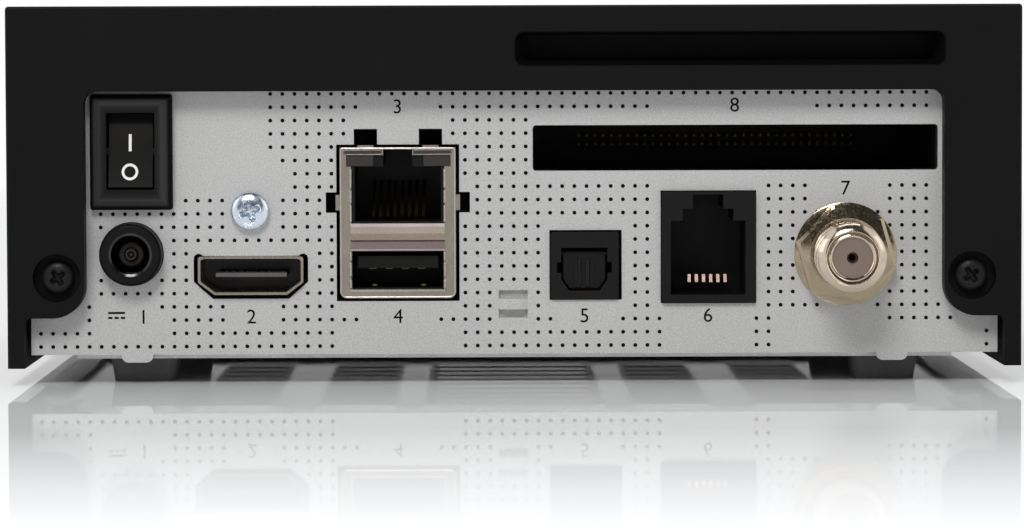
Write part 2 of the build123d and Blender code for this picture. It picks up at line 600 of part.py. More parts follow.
def lamp_spans():
    """X spans of the two lamps over the network jack."""
    return ((LAMP_XS[0], LAMP_XS[0] + LAMP_WIDTH), (LAMP_XS[1] - LAMP_WIDTH, LAMP_XS[1]))


def finger(x):
    """Spring finger that stands up from the shield's roof through a notch in the panel."""
    side = outline((-46.3, 33.4), (-45.9, 33.4), (-45.9, 33.7), (-46.3, 33.8))
    return prism_x(side, around(x, 2.3))


def stack_housing():
    """Black moulding inside the shield with both jack cavities and the data jack's tongue."""
    xs, ys = stack_inside()
    front, deep = ys[0] - 1, STACK_FLOOR + 2.0
    housing = block(xs, ys, (STACK_ZS[0], STACK_ZS[1] - FOIL))
    housing += block(xs, (-44.0, ys[1]), (BOARD_TOP, STACK_ZS[0]))
    housing -= block((NET_XS[0] + 0.5, NET_XS[1] - 0.5), (front, deep), (NET_ZS[0] + 0.3, NET_ZS[1]))
    housing -= block(LATCH_XS, (front, deep), (NET_ZS[1] - 0.1, LATCH_TOP + 0.1))
    for lamp_xs in lamp_spans():
        housing -= block(lamp_xs, (front, LAMP_BACK), LAMP_ZS)
    data_xs = (DATA_XS[0] + 0.15, DATA_XS[1] - 0.15)
    housing -= block(data_xs, (front, STACK_FLOOR), (DATA_ZS[0] + 0.2, DATA_ZS[1] - 0.1))
    return housing + block((-22.2, -10.8), (ys[0] + 0.8, STACK_FLOOR + 0.5), (16.4, 18.1))


def stack_lamps():
    """Two clear light guides over the network jack."""
    ys = (STACK_YS[0] + 0.1, LAMP_BACK)
    zs = (LAMP_ZS[0] + 0.05, LAMP_ZS[1] - 0.05)
    return Compound([block((xs[0] + 0.05, xs[1] - 0.05), ys, zs) for xs in lamp_spans()])


def spring_wire(x, start, knee, end):
    """Thin bent contact seen from the side as two straight runs in Y and Z."""
    return prism_x(trace(Polyline(start, knee, end), CONTACT_THICK), around(x, CONTACT_WIDE))


def stack_contacts():
    """Eight sprung network contacts and four flat data contacts."""
    middle = sum(NET_XS) / 2
    start, knee, end = (-41.6, 23.6), (-40.6, 24.1), (STACK_FLOOR, 28.3)
    wires = [spring_wire(middle + (i - 3.5) * CONTACT_PITCH, start, knee, end) for i in range(8)]
    ys = (-44.8, STACK_FLOOR)
    strips = [block(around(-16.65 + (i - 1.5) * 2.3, 1.0), ys, (16.2, 16.4)) for i in range(4)]
    return Compound(wires + strips)


def optical_mouth(grow):
    """Mouth of the optical jack: square, with its lower corners cut and a notch at each side."""
    x0, x1 = OPTIC_MOUTH_X[0] - grow, OPTIC_MOUTH_X[1] + grow
    z0, z1 = OPTIC_MOUTH_ZS[0] - grow, OPTIC_MOUTH_ZS[1] + grow
    shape = outline((x0, z1), (x1, z1), (x1, 14.7), (x1 - 1.1, z0), (x0 + 1.1, z0), (x0, 14.7))
    return shape + Pos((x0 + x1) / 2, 16.4) * Rectangle(x1 - x0 + 1.2, 1.5)


def optical_jack_body():
    """Black body of the optical jack."""
    body = slab(OPTIC_XS, OPTIC_ZS, OPTIC_YS, 0.4)
    body += block(OPTIC_XS, (-44.3, OPTIC_YS[1]), (BOARD_TOP, 12.6))
    body -= prism_y(optical_mouth(0), (OPTIC_YS[0] - 1, -37.5))
    body -= rod_x(*SHUTTER_AXIS, 0.55, (OPTIC_MOUTH_X[0] - 1.0, OPTIC_MOUTH_X[1] + 1.0))
    return body - rod_y(*optical_centre(), 1.3, (-38.0, -35.0))


def optical_centre():
    """X and Z of the light's way out of the optical jack."""
    return (sum(OPTIC_MOUTH_X) / 2, 16.2)


def optical_shutter():
    """Door that hangs in the mouth and swings inwards; two ribs stiffen it."""
    y, z = SHUTTER_AXIS
    x0, x1 = OPTIC_MOUTH_X[0] + FIT, OPTIC_MOUTH_X[1] - FIT
    low = OPTIC_MOUTH_ZS[0] + FIT
    plate = outline((x0, z), (x1, z), (x1, 14.8), (x1 - 0.95, low), (x0 + 0.95, low), (x0, 14.8))
    door = prism_y(plate, (y - 0.35, y + 0.35))
    for x in (optical_centre()[0] - 1.1, optical_centre()[0] + 1.1):
        door += block(around(x, 0.5), (y - 0.65, y - 0.35), SHUTTER_RIB_ZS)
    door += rod_x(y, z, 0.35, (OPTIC_MOUTH_X[0] - 0.7, OPTIC_MOUTH_X[1] + 0.7))
    return door


def optical_emitter():
    """Red light source at the bottom of the optical jack."""
    x, z = optical_centre()
    return rod_y(x, z, 1.2, (-37.6, -35.0))


def serial_jack_body():
    """Black six-way jack with a stepped latch slot."""
    body = slab(SERIAL_XS, SERIAL_ZS, SERIAL_YS, 0.3)
    for width, zs in SERIAL_STEPS:
        body -= block(around(SERIAL_X, width), (SERIAL_YS[0] - 1, -33.5), zs)
    return body


def serial_contacts():
    """Six sprung contacts that rise a little way inside the mouth and run to the back."""
    start, knee, end = (-44.0, 14.1), (-43.6, 15.1), (-34.0, 14.5)
    return Compound([spring_wire(SERIAL_X + (i - 2.5) * CONTACT_PITCH, start, knee, end) for i in range(6)])


# Tuner and antenna connector

def tuner_can():
    """Tin-plated box of the tuner, open at the top."""
    can = block(TUNER_XS, TUNER_YS, TUNER_ZS)
    inside = [(ends[0] + TUNER_SHEET, ends[1] - TUNER_SHEET) for ends in (TUNER_XS, TUNER_YS)]
    can -= block(*inside, (TUNER_ZS[0] + TUNER_SHEET, TUNER_ZS[1] + 1))
    can -= rod_y(ANTENNA_X, ANTENNA_Z, ANTENNA_NECK + 0.02, (TUNER_YS[0] - 1, TUNER_YS[0] + 1))
    for middle in (TUNER_XS[0] + 0.75, TUNER_XS[1] - 0.75):
        for y in (-40.0, -8.0):
            can += block(around(middle, 1.5), around(y, 3.0), (BOARD_TOP, TUNER_ZS[0] + 0.1))
    return can


def tuner_lid():
    """Lid pressed onto the tuner's box."""
    return block(TUNER_XS, TUNER_YS, (TUNER_ZS[1], TUNER_ZS[1] + 0.4))


def antenna_barrel():
    """Screwed barrel of the antenna connector, fixed to the tuner's box."""
    barrel = rod_y(ANTENNA_X, ANTENNA_Z, ANTENNA_RADIUS, (ANTENNA_TIP, NUT_YS[0]))
    barrel = chamfer(barrel.edges().sort_by(Axis.Y)[0], 0.6)
    barrel += rod_y(ANTENNA_X, ANTENNA_Z, ANTENNA_NECK, (NUT_YS[0], TUNER_YS[0] + 1.5))
    barrel -= rod_y(ANTENNA_X, ANTENNA_Z, 3.7, (ANTENNA_TIP - 1, ANTENNA_TIP + 0.5))
    return barrel - rod_y(ANTENNA_X, ANTENNA_Z, CORE_RADIUS, (ANTENNA_TIP, TUNER_YS[0] + 2))


def antenna_insulator():
    """Plastic plug in the end of the barrel, bored for the cable's core."""
    start = ANTENNA_TIP + 0.5
    plug = rod_y(ANTENNA_X, ANTENNA_Z, CORE_RADIUS, (start, ANTENNA_TIP + 6))
    plug -= rod_y(ANTENNA_X, ANTENNA_Z, CORE_HOLE, (ANTENNA_TIP, start + CORE_WALL + 1))
    return plug - rod_y(ANTENNA_X, ANTENNA_Z, CONTACT_RADIUS, (start + CORE_WALL, ANTENNA_TIP + 7))


def antenna_contact():
    """Split tube that grips the cable's core."""
    tube = rod_y(ANTENNA_X, ANTENNA_Z, CONTACT_RADIUS, (ANTENNA_TIP + 0.5 + CORE_WALL, TUNER_YS[0] + 4))
    return tube - rod_y(ANTENNA_X, ANTENNA_Z, 0.5, (ANTENNA_TIP, -50.0))


def antenna_nut():
    """Hexagon nut that holds the barrel to the panel."""
    hexagon = RegularPolygon(NUT_FLATS / 2, 6, major_radius=False)
    nut = prism_y(Pos(ANTENNA_X, ANTENNA_Z) * Rot(0, 0, NUT_TURN) * hexagon, NUT_YS)
    cone = rod_y(ANTENNA_X, ANTENNA_Z, NUT_FLATS / math.sqrt(3) * 0.985, NUT_YS)
    cone = chamfer(cone.edges().sort_by(Axis.Y)[0], 0.7)
    return (nut & cone) - rod_y(ANTENNA_X, ANTENNA_Z, ANTENNA_NECK + 0.02, (NUT_YS[0] - 1, NUT_YS[1] + 1))


def antenna_washer():
    """Washer between the nut and the panel."""
    disc = rod_y(ANTENNA_X, ANTENNA_Z, WASHER_RADIUS, (NUT_YS[1], PANEL_Y))
    return disc - rod_y(ANTENNA_X, ANTENNA_Z, ANTENNA_NECK + 0.1, (NUT_YS[1] - 1, PANEL_Y + 1))


# Card slot

def card_guide():
    """Plastic rails for a pluggable card, standing over the lower sockets on four legs."""
    whole = (GUIDE_YS[0] - 1, GUIDE_YS[1] + 1)
    card_zs = (CARD_ZS[0] + 0.1, CARD_ZS[1] - 0.1)
    between = (GUIDE_XS[0] + 5.4, GUIDE_XS[1] - 5.4)
    guide = block(GUIDE_XS, GUIDE_YS, GUIDE_ZS)
    guide -= block((CARD_XS[0] + 0.2, CARD_XS[1] - 0.25), whole, card_zs)
    guide -= block(between, whole, (card_zs[0] - 0.4, GUIDE_ZS[1] + 1))
    guide -= block(between, (GUIDE_YS[0] + 5, GUIDE_YS[1] - 5), (GUIDE_ZS[0] - 1, card_zs[0] + 0.7))
    for xs in ((GUIDE_XS[0], GUIDE_XS[0] + 3), (GUIDE_XS[1] - 3, GUIDE_XS[1])):
        for ys in ((-43.5, -40.5), (9.0, 12.0)):
            guide += block(xs, ys, (BOARD_TOP, GUIDE_ZS[0]))
    return guide


def card_lid():
    """Thin steel lid over the card rails."""
    return block(GUIDE_XS, (GUIDE_YS[0], HEADER_Y), (GUIDE_ZS[1], GUIDE_ZS[1] + CARD_LID))


def card_header():
    """Header across the far end of the rails."""
    return block(GUIDE_XS, (GUIDE_YS[1], HEADER_Y), GUIDE_ZS)


def card_pins():
    """Two rows of pins that stand out of the header."""
    middle = sum(CARD_XS) / 2
    ys = (GUIDE_YS[1] - PIN_REACH, GUIDE_YS[1])
    pins = []
    for z in PIN_ZS:
        for i in range(PIN_COLUMNS):
            x = middle + (i - (PIN_COLUMNS - 1) / 2) * PIN_PITCH
            pins.append(block(around(x, PIN_SIZE), ys, around(z, PIN_SIZE)))
    return Compound(pins)


# Boards and what they carry

def main_board():
    """Main circuit board on its posts."""
    board = block((-BOARD_HALF, BOARD_HALF), BOARD_YS, BOARD_Z)
    for x, y in POSTS:
        board -= rod_z(x, y, SCREW_RADIUS + 0.15, (BOARD_Z[0] - 1, BOARD_Z[1] + 1))
    return board


def board_posts():
    """Threaded posts pressed into the tray."""
    posts = []
    hexagon = RegularPolygon(2.5, 6, major_radius=False)
    for x, y in POSTS:
        post = Pos(x, y, PANEL_LOW) * extrude(hexagon, BOARD_Z[0] - PANEL_LOW)
        posts.append(post - rod_z(x, y, SCREW_RADIUS + 0.05, (PANEL_LOW + 0.8, BOARD_Z[1])))
    return Compound([post.solid() for post in posts])


def board_screws():
    """Screws that hold both boards: six downwards, four forwards."""
    upright = Rot(90, 0, 0) * Rot(180, 0, 0) * screw_y(0, 0, 0, 5.5)
    screws = [Pos(x, y, BOARD_TOP) * upright for x, y in POSTS]
    screws += [screw_y(x, z, FRONT_BOARD_Y[0], 7.5) for x in (-BOSS_X, BOSS_X) for z in BOSS_ZS]
    return Compound([screw.solid() for screw in screws])


def processor_chip():
    """Processor under the heat sink."""
    return block((-37.0, -13.0), (-12.0, 12.0), (BOARD_TOP, 13.6))


def heat_sink():
    """Finned aluminium heat sink."""
    sink = block((-39.0, -11.0), (-14.0, 14.0), (13.6, 16.0))
    for i in range(8):
        sink += block(around(-37.9 + i * 3.686, 1.2), (-14.0, 14.0), (15.9, 26.0))
    return sink


def memory_chips():
    """Four memory chips beside the processor."""
    chips = []
    for x in (8.5, 19.5):
        for y in (-15.0, 0.0):
            chips.append(block(around(x, 8.0), around(y, 12.0), (BOARD_TOP, 12.6)))
    return Compound(chips)


def capacitors():
    """Round capacitors along the left side of the board."""
    places = [(-57.0, 4.0), (-57.0, 14.5), (-46.0, 9.0), (-46.0, 19.5), (-35.0, 26.0), (-24.0, 26.0)]
    return Compound([fillet(rod_z(x, y, 4.0, (BOARD_TOP, 22.4)).edges(), 0.4).solid() for x, y in places])


def front_board():
    """Upright board behind the fascia."""
    board = block((-60.0, 60.0), FRONT_BOARD_Y, (8.0, 48.0))
    for x in (-BOSS_X, BOSS_X):
        for z in BOSS_ZS:
            board -= rod_y(x, z, SCREW_RADIUS + 0.15, (FRONT_BOARD_Y[0] - 1, FRONT_BOARD_Y[1] + 1))
    return board


def display_module():
    """Four-digit display on the front board."""
    return block((-26.0, 26.0), (FRONT_BOARD_Y[1], 53.5), (19.5, 36.5))


def ir_receiver():
    """Infra-red receiver behind the window."""
    can = block((26.4, 30.4), (FRONT_BOARD_Y[1], 49.5), (24.0, 31.0))
    lens = rod_y(28.4, 28.0, 1.6, (49.0, 51.5))
    return can + fillet(lens.edges().sort_by(Axis.Y)[-1], 1.4)


def status_lamp():
    """Lamp with a light guide that ends flush with the fascia."""
    lamp = rod_y(BUTTON_X, LAMP_Z, 1.5, (FRONT_BOARD_Y[1], FASCIA_Y - 2.5))
    return lamp + rod_y(BUTTON_X, LAMP_Z, 1.0, (FASCIA_Y - 2.6, FASCIA_Y))


def standby_button():
    """Round button with a collar behind the fascia and a stem towards its key switch."""
    cap = rod_y(BUTTON_X, BUTTON_Z, BUTTON_RADIUS, (CAP_BACK_Y, LENGTH / 2))
    cap = fillet(cap.edges().sort_by(Axis.Y)[-1], 0.5)
    cap += rod_y(BUTTON_X, BUTTON_Z, BUTTON_RADIUS + 1.5, (CAP_BACK_Y, FASCIA_Y - WALL - FIT))
    return cap + rod_y(BUTTON_X, BUTTON_Z, 2.0, (50.6, CAP_BACK_Y + 0.1))


def key_switch():
    """Body of the small key switch behind the button."""
    base = block(around(BUTTON_X, 6.2), (FRONT_BOARD_Y[1], 49.6), around(BUTTON_Z, 6.2))
    return base - rod_y(BUTTON_X, BUTTON_Z, 1.7 + FIT, (47.6, 50.0))


def key_plunger():
    """Plunger of the key switch, pushed in by the button's stem."""
    return rod_y(BUTTON_X, BUTTON_Z, 1.7, (48.5, 50.3))


def front_cable():
    """Flat cable from the main board to the front board."""
    path = FilletPolyline((32.0, 11.6), (37.0, 11.6), (43.0, 15.5), (44.2, 22.0), radius=[3.0, 2.5])
    return prism_x(trace(path, 0.3), (8.0, 28.0))


def cover_screws():
    """Two screws sunk into the frame, through the panel."""
    seat = BACK_Y + RECESS_DEPTH
    screws = [screw_y(side * COVER_SCREW_X, COVER_SCREW_Z, seat, 9.0, 2.3, 1.5) for side in (-1, 1)]
    return Compound([screw.solid() for screw in screws])


NODES = {
    "top_cover": top_cover, "front_fascia": front_fascia, "fascia_window": fascia_window,
    "base_tray": base_tray, "rear_panel": rear_panel, "cover_screws": cover_screws,
    "switch_body": switch_body, "switch_rocker": switch_rocker, "switch_plunger": switch_plunger,
    "switch_spring": switch_spring, "switch_seesaw": switch_seesaw, "switch_terminals": switch_terminals,
    "lead_plug": lead_plug, "lead_header": lead_header,
    "power_jack_body": power_jack_body, "power_jack_pin": power_jack_pin,
    "power_jack_spring": power_jack_spring,
    "video_jack_shroud": video_jack_shroud, "video_jack_tongue": video_jack_tongue,
    "video_jack_contacts": video_jack_contacts,
    "stack_shield": stack_shield, "stack_housing": stack_housing, "stack_contacts": stack_contacts,
    "stack_lamps": stack_lamps,
    "optical_jack_body": optical_jack_body, "optical_shutter": optical_shutter,
    "optical_emitter": optical_emitter,
    "serial_jack_body": serial_jack_body, "serial_contacts": serial_contacts,
    "tuner_can": tuner_can, "tuner_lid": tuner_lid, "antenna_barrel": antenna_barrel,
    "antenna_insulator": antenna_insulator, "antenna_contact": antenna_contact, "antenna_nut": antenna_nut,
    "antenna_washer": antenna_washer,
    "card_guide": card_guide, "card_lid": card_lid, "card_header": card_header, "card_pins": card_pins,
    "main_board": main_board, "board_posts": board_posts, "board_screws": board_screws,
    "processor_chip": processor_chip, "heat_sink": heat_sink, "memory_chips": memory_chips,
    "capacitors": capacitors, "front_board": front_board, "display_module": display_module,
    "ir_receiver": ir_receiver, "status_lamp": status_lamp, "standby_button": standby_button,
    "key_switch": key_switch, "key_plunger": key_plunger, "front_cable": front_cable,
}

PLACED_NODES = {
    "panel_screw": screw_y(*VIDEO_SCREW, PANEL_Y, 7.0),
    "switch_lead_live": lead(SWITCH_X - 1.3, TERMINALS[0][0], 9.0),
    "switch_lead_return": lead(SWITCH_X + 1.3, TERMINALS[1][0], 6.0),
    "rear_feet": feet(FOOT_YS[0]),
    "front_feet": feet(FOOT_YS[1]),
}


def main():
    """Write every piece to its own file."""
    os.makedirs("parts", exist_ok=True)
    for name, make in NODES.items():
        export_step(make(), f"parts/{name}.step")
    for name, shape in PLACED_NODES.items():
        export_step(shape, f"parts/{name}.step")


if __name__ == "__main__":
    main()
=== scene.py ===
"""Looks of a satellite tv receiver: finishes, printed panel, screws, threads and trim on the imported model."""
import json
import logging
import math
from dataclasses import dataclass
from enum import Enum
from typing import Any

import bmesh
import bpy
import numpy as np
from mathutils import Matrix, Vector


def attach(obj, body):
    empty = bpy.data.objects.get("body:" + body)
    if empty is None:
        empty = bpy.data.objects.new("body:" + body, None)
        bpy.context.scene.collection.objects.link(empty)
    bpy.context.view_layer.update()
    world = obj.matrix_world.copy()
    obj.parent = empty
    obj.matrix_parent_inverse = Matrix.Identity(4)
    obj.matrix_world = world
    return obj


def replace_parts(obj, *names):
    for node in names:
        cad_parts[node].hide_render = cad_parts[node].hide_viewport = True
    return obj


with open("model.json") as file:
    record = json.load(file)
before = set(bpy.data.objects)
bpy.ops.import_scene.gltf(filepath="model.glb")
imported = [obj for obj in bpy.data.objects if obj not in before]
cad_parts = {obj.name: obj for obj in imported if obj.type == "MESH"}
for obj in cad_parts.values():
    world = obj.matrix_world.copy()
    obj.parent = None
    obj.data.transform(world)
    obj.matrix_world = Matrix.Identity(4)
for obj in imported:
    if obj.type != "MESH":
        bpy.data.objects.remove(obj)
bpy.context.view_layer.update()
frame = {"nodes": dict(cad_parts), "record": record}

LOG = logging.getLogger("receiver")
MM = 0.001
Colour = tuple[float, float, float]
Span = tuple[float, float]
Stops = tuple[tuple[float, float], ...]
Socket = Any

# Places on the object, in millimetres
PANEL_FACE = -46.0          # outer face of the rear panel along Y
COVER_FACE = -49.5          # rear edge of the cover along Y
SWITCH_X = -54.2            # the switch stands straight above the power inlet
INLET_Z = 18.5
ANTENNA_X, ANTENNA_Z = 46.9, 18.2
INK_THICKNESS = 0.02
INK_YS = (PANEL_FACE - INK_THICKNESS, PANEL_FACE + INK_THICKNESS)


class Slot(str, Enum):
    """The record's material slots."""

    COVER = "cover_black"
    FASCIA = "fascia_black"
    WINDOW = "smoked_window"
    PANEL = "panel_silver"
    TRAY = "tray_zinc"
    ZINC_SCREW = "zinc_screw"
    BLACK_SCREW = "black_screw"
    PLASTIC = "black_plastic"
    ROCKER = "rocker_black"
    TIN = "tin"
    NICKEL = "nickel"
    GOLD = "gold"
    COPPER = "copper"
    SPRING = "spring_steel"
    LAMP = "lamp_plastic"
    RED_LENS = "red_lens"
    INSULATOR = "insulator"
    CREAM = "cream_plastic"
    BOARD = "board_green"
    CHIP = "chip_black"
    HEAT_SINK = "heat_black"
    CAN = "can_sleeve"
    RUBBER = "rubber"
    LEAD_RED = "lead_red"
    LEAD_BLACK = "lead_black"
    BUTTON = "button_black"
    RIBBON = "ribbon"


class Body(str, Enum):
    """The bodies that pieces ride on."""

    HOUSING = "housing"
    ROCKER = "rocker"
    SHUTTER = "shutter"


# Materials

class Tree:
    """A node tree while it is being built."""

    def __init__(self, owner: bpy.types.Material | bpy.types.World, output: str) -> None:
        """Empty the owner's tree and give it an output.

        Args:
            owner: the material or world that the tree belongs to.
            output: kind of the output node.
        """
        owner.use_nodes = True
        self.tree = owner.node_tree
        self.tree.nodes.clear()
        self.surface = self.add(output).inputs["Surface"]

    def add(self, kind: str, **settings: Any) -> bpy.types.Node:
        """Add a node.

        Args:
            kind: type of the node.
            **settings: its plain properties.

        Returns:
            The new node.
        """
        node = self.tree.nodes.new(kind)
        for name, value in settings.items():
            setattr(node, name, value)
        return node

    def join(self, source: Socket, entry: Socket) -> None:
        """Link two sockets."""
        self.tree.links.new(source, entry)

    def set(self, node: bpy.types.Node, **values: Any) -> None:
        """Set constants on a node's inputs; underscores in names stand for spaces."""
        for name, value in values.items():
            node.inputs[name.replace("_", " ")].default_value = value

    def place(self, stretch: tuple[float, float, float] = (1.0, 1.0, 1.0)) -> Socket:
        """Object coordinates.

        Args:
            stretch: factor along each axis.

        Returns:
            The coordinates, in metres times the stretch.
        """
        mapping = self.add("ShaderNodeMapping")
        mapping.inputs["Scale"].default_value = stretch
        self.join(self.add("ShaderNodeTexCoord").outputs["Object"], mapping.inputs["Vector"])
        return mapping.outputs["Vector"]

    def axes(self) -> Socket:
        """Object coordinates, taken apart.

        Returns:
            Three sockets named X, Y and Z.
        """
        split = self.add("ShaderNodeSeparateXYZ")
        self.join(self.place(), split.inputs[0])
        return split.outputs

    def math(self, operation: str, *values: Socket | float) -> Socket:
        """One step of arithmetic.

        Args:
            operation: name of the step.
            *values: one or two sockets or numbers that it works on.

        Returns:
            The result.
        """
        node = self.add("ShaderNodeMath", operation=operation)
        for value, entry in zip(values, node.inputs):
            if isinstance(value, float):
                entry.default_value = value
            else:
                self.join(value, entry)
        return node.outputs[0]

    def span(self, value: Socket, low: float, high: float, start: float = 0.3, end: float = 0.7) -> Socket:
        """Map one range onto another, and hold the value at its ends.

        Args:
            value: what is mapped.
            low: result at the start.
            high: result at the end.
            start: where the value starts; a noise hardly falls below the preset.
            end: where the value ends; a noise hardly rises above the preset.

        Returns:
            The mapped value.
        """
        node = self.add("ShaderNodeMapRange")
        self.set(node, From_Min=start, From_Max=end, To_Min=low, To_Max=high)
        self.join(value, node.inputs["Value"])
        return node.outputs["Result"]

    def mix_shaders(self, factor: Socket, first: Socket, second: Socket) -> Socket:
        """Slide from one shader to another.

        Args:
            factor: 0 for the first shader, 1 for the second.
            first: the first shader.
            second: the second shader.

        Returns:
            The mixed shader.
        """
        node = self.add("ShaderNodeMixShader")
        for source, entry in zip((factor, first, second), node.inputs):
            self.join(source, entry)
        return node.outputs[0]

    def seen_directly(self) -> Socket:
        """Tell rays that see a thing directly, in a mirror or through clear plastic from those that light it.

        Returns:
            1 for the first kind and 0 for the other.
        """
        path = self.add("ShaderNodeLightPath").outputs
        either = self.math("MAXIMUM", path["Is Camera Ray"], path["Is Glossy Ray"])
        return self.math("MAXIMUM", either, path["Is Transmission Ray"])


class Bench(Tree):
    """One material's node tree, round a principled shader."""

    def __init__(self, name: str) -> None:
        """Start a material with an output and a principled shader.

        Args:
            name: name of the material.
        """
        self.material = bpy.data.materials.new(name)
        super().__init__(self.material, "ShaderNodeOutputMaterial")
        self.shader = self.add("ShaderNodeBsdfPrincipled")
        self.join(self.shader.outputs["BSDF"], self.surface)

    def fix(self, **values: Any) -> None:
        """Set constants on the shader's own sockets."""
        self.set(self.shader, **values)

    def feed(self, **sockets: Socket) -> None:
        """Link sockets to the shader's inputs; underscores in names stand for spaces."""
        for name, socket in sockets.items():
            self.join(socket, self.shader.inputs[name.replace("_", " ")])

    def noise(self, size: float, detail: float = 2.0, where: Socket | None = None) -> Socket:
        """Soft noise.

        Args:
            size: width of its features, in millimetres.
            detail: how many finer layers lie on it.
            where: coordinates, if not the plain object coordinates.

        Returns:
            The noise, about 0.3 to 0.7.
        """
        node = self.add("ShaderNodeTexNoise")
        self.set(node, Scale=1.0 / (size * MM), Detail=detail)
        self.join(where or self.place(), node.inputs["Vector"])
        return node.outputs["Fac"]

    def cells(self, size: float) -> Socket:
        """Distance to the nearest point of a random pattern.

        Args:
            size: spacing of the points, in millimetres.

        Returns:
            The distance as a share of the spacing.
        """
        node = self.add("ShaderNodeTexVoronoi")
        self.set(node, Scale=1.0 / (size * MM))
        self.join(self.place(), node.inputs["Vector"])
        return node.outputs["Distance"]

    def blend(self, factor: Socket, first: Socket | Colour, second: Socket | Colour) -> Socket:
        """Mix two colours.

        Args:
            factor: 0 for the first colour, 1 for the second.
            first: a socket or a fixed colour.
            second: a socket or a fixed colour.

        Returns:
            The mixed colour.
        """
        node = self.add("ShaderNodeMix", data_type="RGBA")
        self.join(factor, node.inputs["Factor"])
        for name, value in (("A", first), ("B", second)):
            socket = next(s for s in node.inputs if s.name == name and s.type == "RGBA")
            if isinstance(value, tuple):
                socket.default_value = (*value, 1.0)
            else:
                self.join(value, socket)
        return next(s for s in node.outputs if s.type == "RGBA")

    def drift(self, noise: Socket, colour: Colour, low: float, high: float) -> Socket:
        """A colour that wanders with a noise between two shades of itself."""
        return self.blend(self.span(noise, 0.0, 1.0), shade(colour, low), shade(colour, high))

    def ramp(self, value: Socket, stops: Stops, tint: Colour) -> Socket:
        """Shade that follows a length.

        Args:
            value: the length, in metres.
            stops: length in millimetres and shade at each stop.
            tint: factor on each channel of the shade.

        Returns:
            The colour.
        """
        first, last = stops[0][0], stops[-1][0]
        node = self.add("ShaderNodeValToRGB")
        self.join(self.span(value, 0.0, 1.0, first * MM, last * MM), node.inputs[0])
        elements = node.color_ramp.elements
        while len(elements) < len(stops):
            elements.new(0.5)
        for element, (length, _) in zip(elements, stops):
            element.position = (length - first) / (last - first)
        for element, (_, grey) in zip(elements, stops):
            element.color = (*shade(tint, grey), 1.0)
        return node.outputs["Color"]

    def mix_values(self, factor: Socket, first: Socket, second: float) -> Socket:
        """Slide from a value to a number.

        Args:
            factor: 0 for the value, 1 for the number.
            first: the value.
            second: the number.

        Returns:
            The mixed value.
        """
        node = self.add("ShaderNodeMix", data_type="FLOAT")
        self.join(factor, node.inputs["Factor"])
        self.join(first, node.inputs["A"])
        node.inputs["B"].default_value = second
        return node.outputs["Result"]

    def bump(self, height: Socket, depth: float, strength: float = 0.5) -> Socket:
        """Small relief of a surface.

        Args:
            height: the pattern.
            depth: how deep the pattern goes, in millimetres.
            strength: share of the relief that shows.

        Returns:
            The changed normal.
        """
        node = self.add("ShaderNodeBump")
        self.set(node, Distance=depth * MM, Strength=strength)
        self.join(height, node.inputs["Height"])
        return node.outputs["Normal"]


def shade(colour: Colour, factor: float) -> Colour:
    """A colour scaled in brightness."""
    return tuple(min(1.0, channel * factor) for channel in colour)


class Finish:
    """A way to dress a material."""

    def make(self, name: str) -> bpy.types.Material:
        """Build the material.

        Args:
            name: name of the material.

        Returns:
            The dressed material.
        """
        bench = Bench(name)
        self.dress(bench)
        return bench.material

    def dress(self, bench: Bench) -> None:
        """Set up the shader, which each finish does in its own way."""
        raise NotImplementedError


@dataclass(frozen=True)
class Moulding(Finish):
    """Moulded plastic or lacquer with a fine spark-eroded grain."""

    colour: Colour
    roughness: float = 0.45
    grain: float = 0.35
    depth: float = 0.02
    specular: float = 0.4
    mottle: float = 0.15
    coat: float = 0.0

    def dress(self, bench: Bench) -> None:
        """Grain from two noises; colour drifts softly and shows faint specks.

        Args:
            bench: the material being built.
        """
        fine = bench.noise(self.grain, 3.0)
        drift = bench.drift(bench.noise(14.0), self.colour, 1.0 - self.mottle, 1.0 + self.mottle)
        specks = bench.blend(bench.span(fine, 0.0, 0.35), drift, shade(self.colour, 1.0 + 3 * self.mottle))
        bench.feed(Base_Color=specks, Normal=bench.bump(fine, self.depth, 0.6),
                   Roughness=bench.span(fine, self.roughness - 0.06, self.roughness + 0.08))
        bench.fix(Specular_IOR_Level=self.specular, Coat_Weight=self.coat, Coat_Roughness=0.06)


@dataclass(frozen=True)
class Metal(Finish):
    """Plated or brushed metal with faint drawing lines along one axis."""

    colour: Colour
    roughness: float = 0.25
    lines: tuple[float, float, float] = (0.08, 1.0, 1.0)
    line_size: float = 0.25
    depth: float = 0.004
    stain: float = 0.08

    def dress(self, bench: Bench) -> None:
        """Stretched noise gives the lines; a broad noise gives stains and uneven gloss.

        Args:
            bench: the material being built.
        """
        drawn = bench.noise(self.line_size, 3.0, bench.place(self.lines))
        tint = bench.drift(bench.noise(5.0, 3.0), self.colour, 1.0 - self.stain, 1.0 + self.stain)
        bench.feed(Base_Color=tint, Roughness=self.gloss(bench, drawn), Normal=bench.bump(drawn, self.depth))
        bench.fix(Metallic=1.0)

    def gloss(self, bench: Bench, drawn: Socket) -> Socket:
        """Roughness, a little uneven along the drawing lines."""
        return bench.span(drawn, self.roughness - 0.05, self.roughness + 0.1)


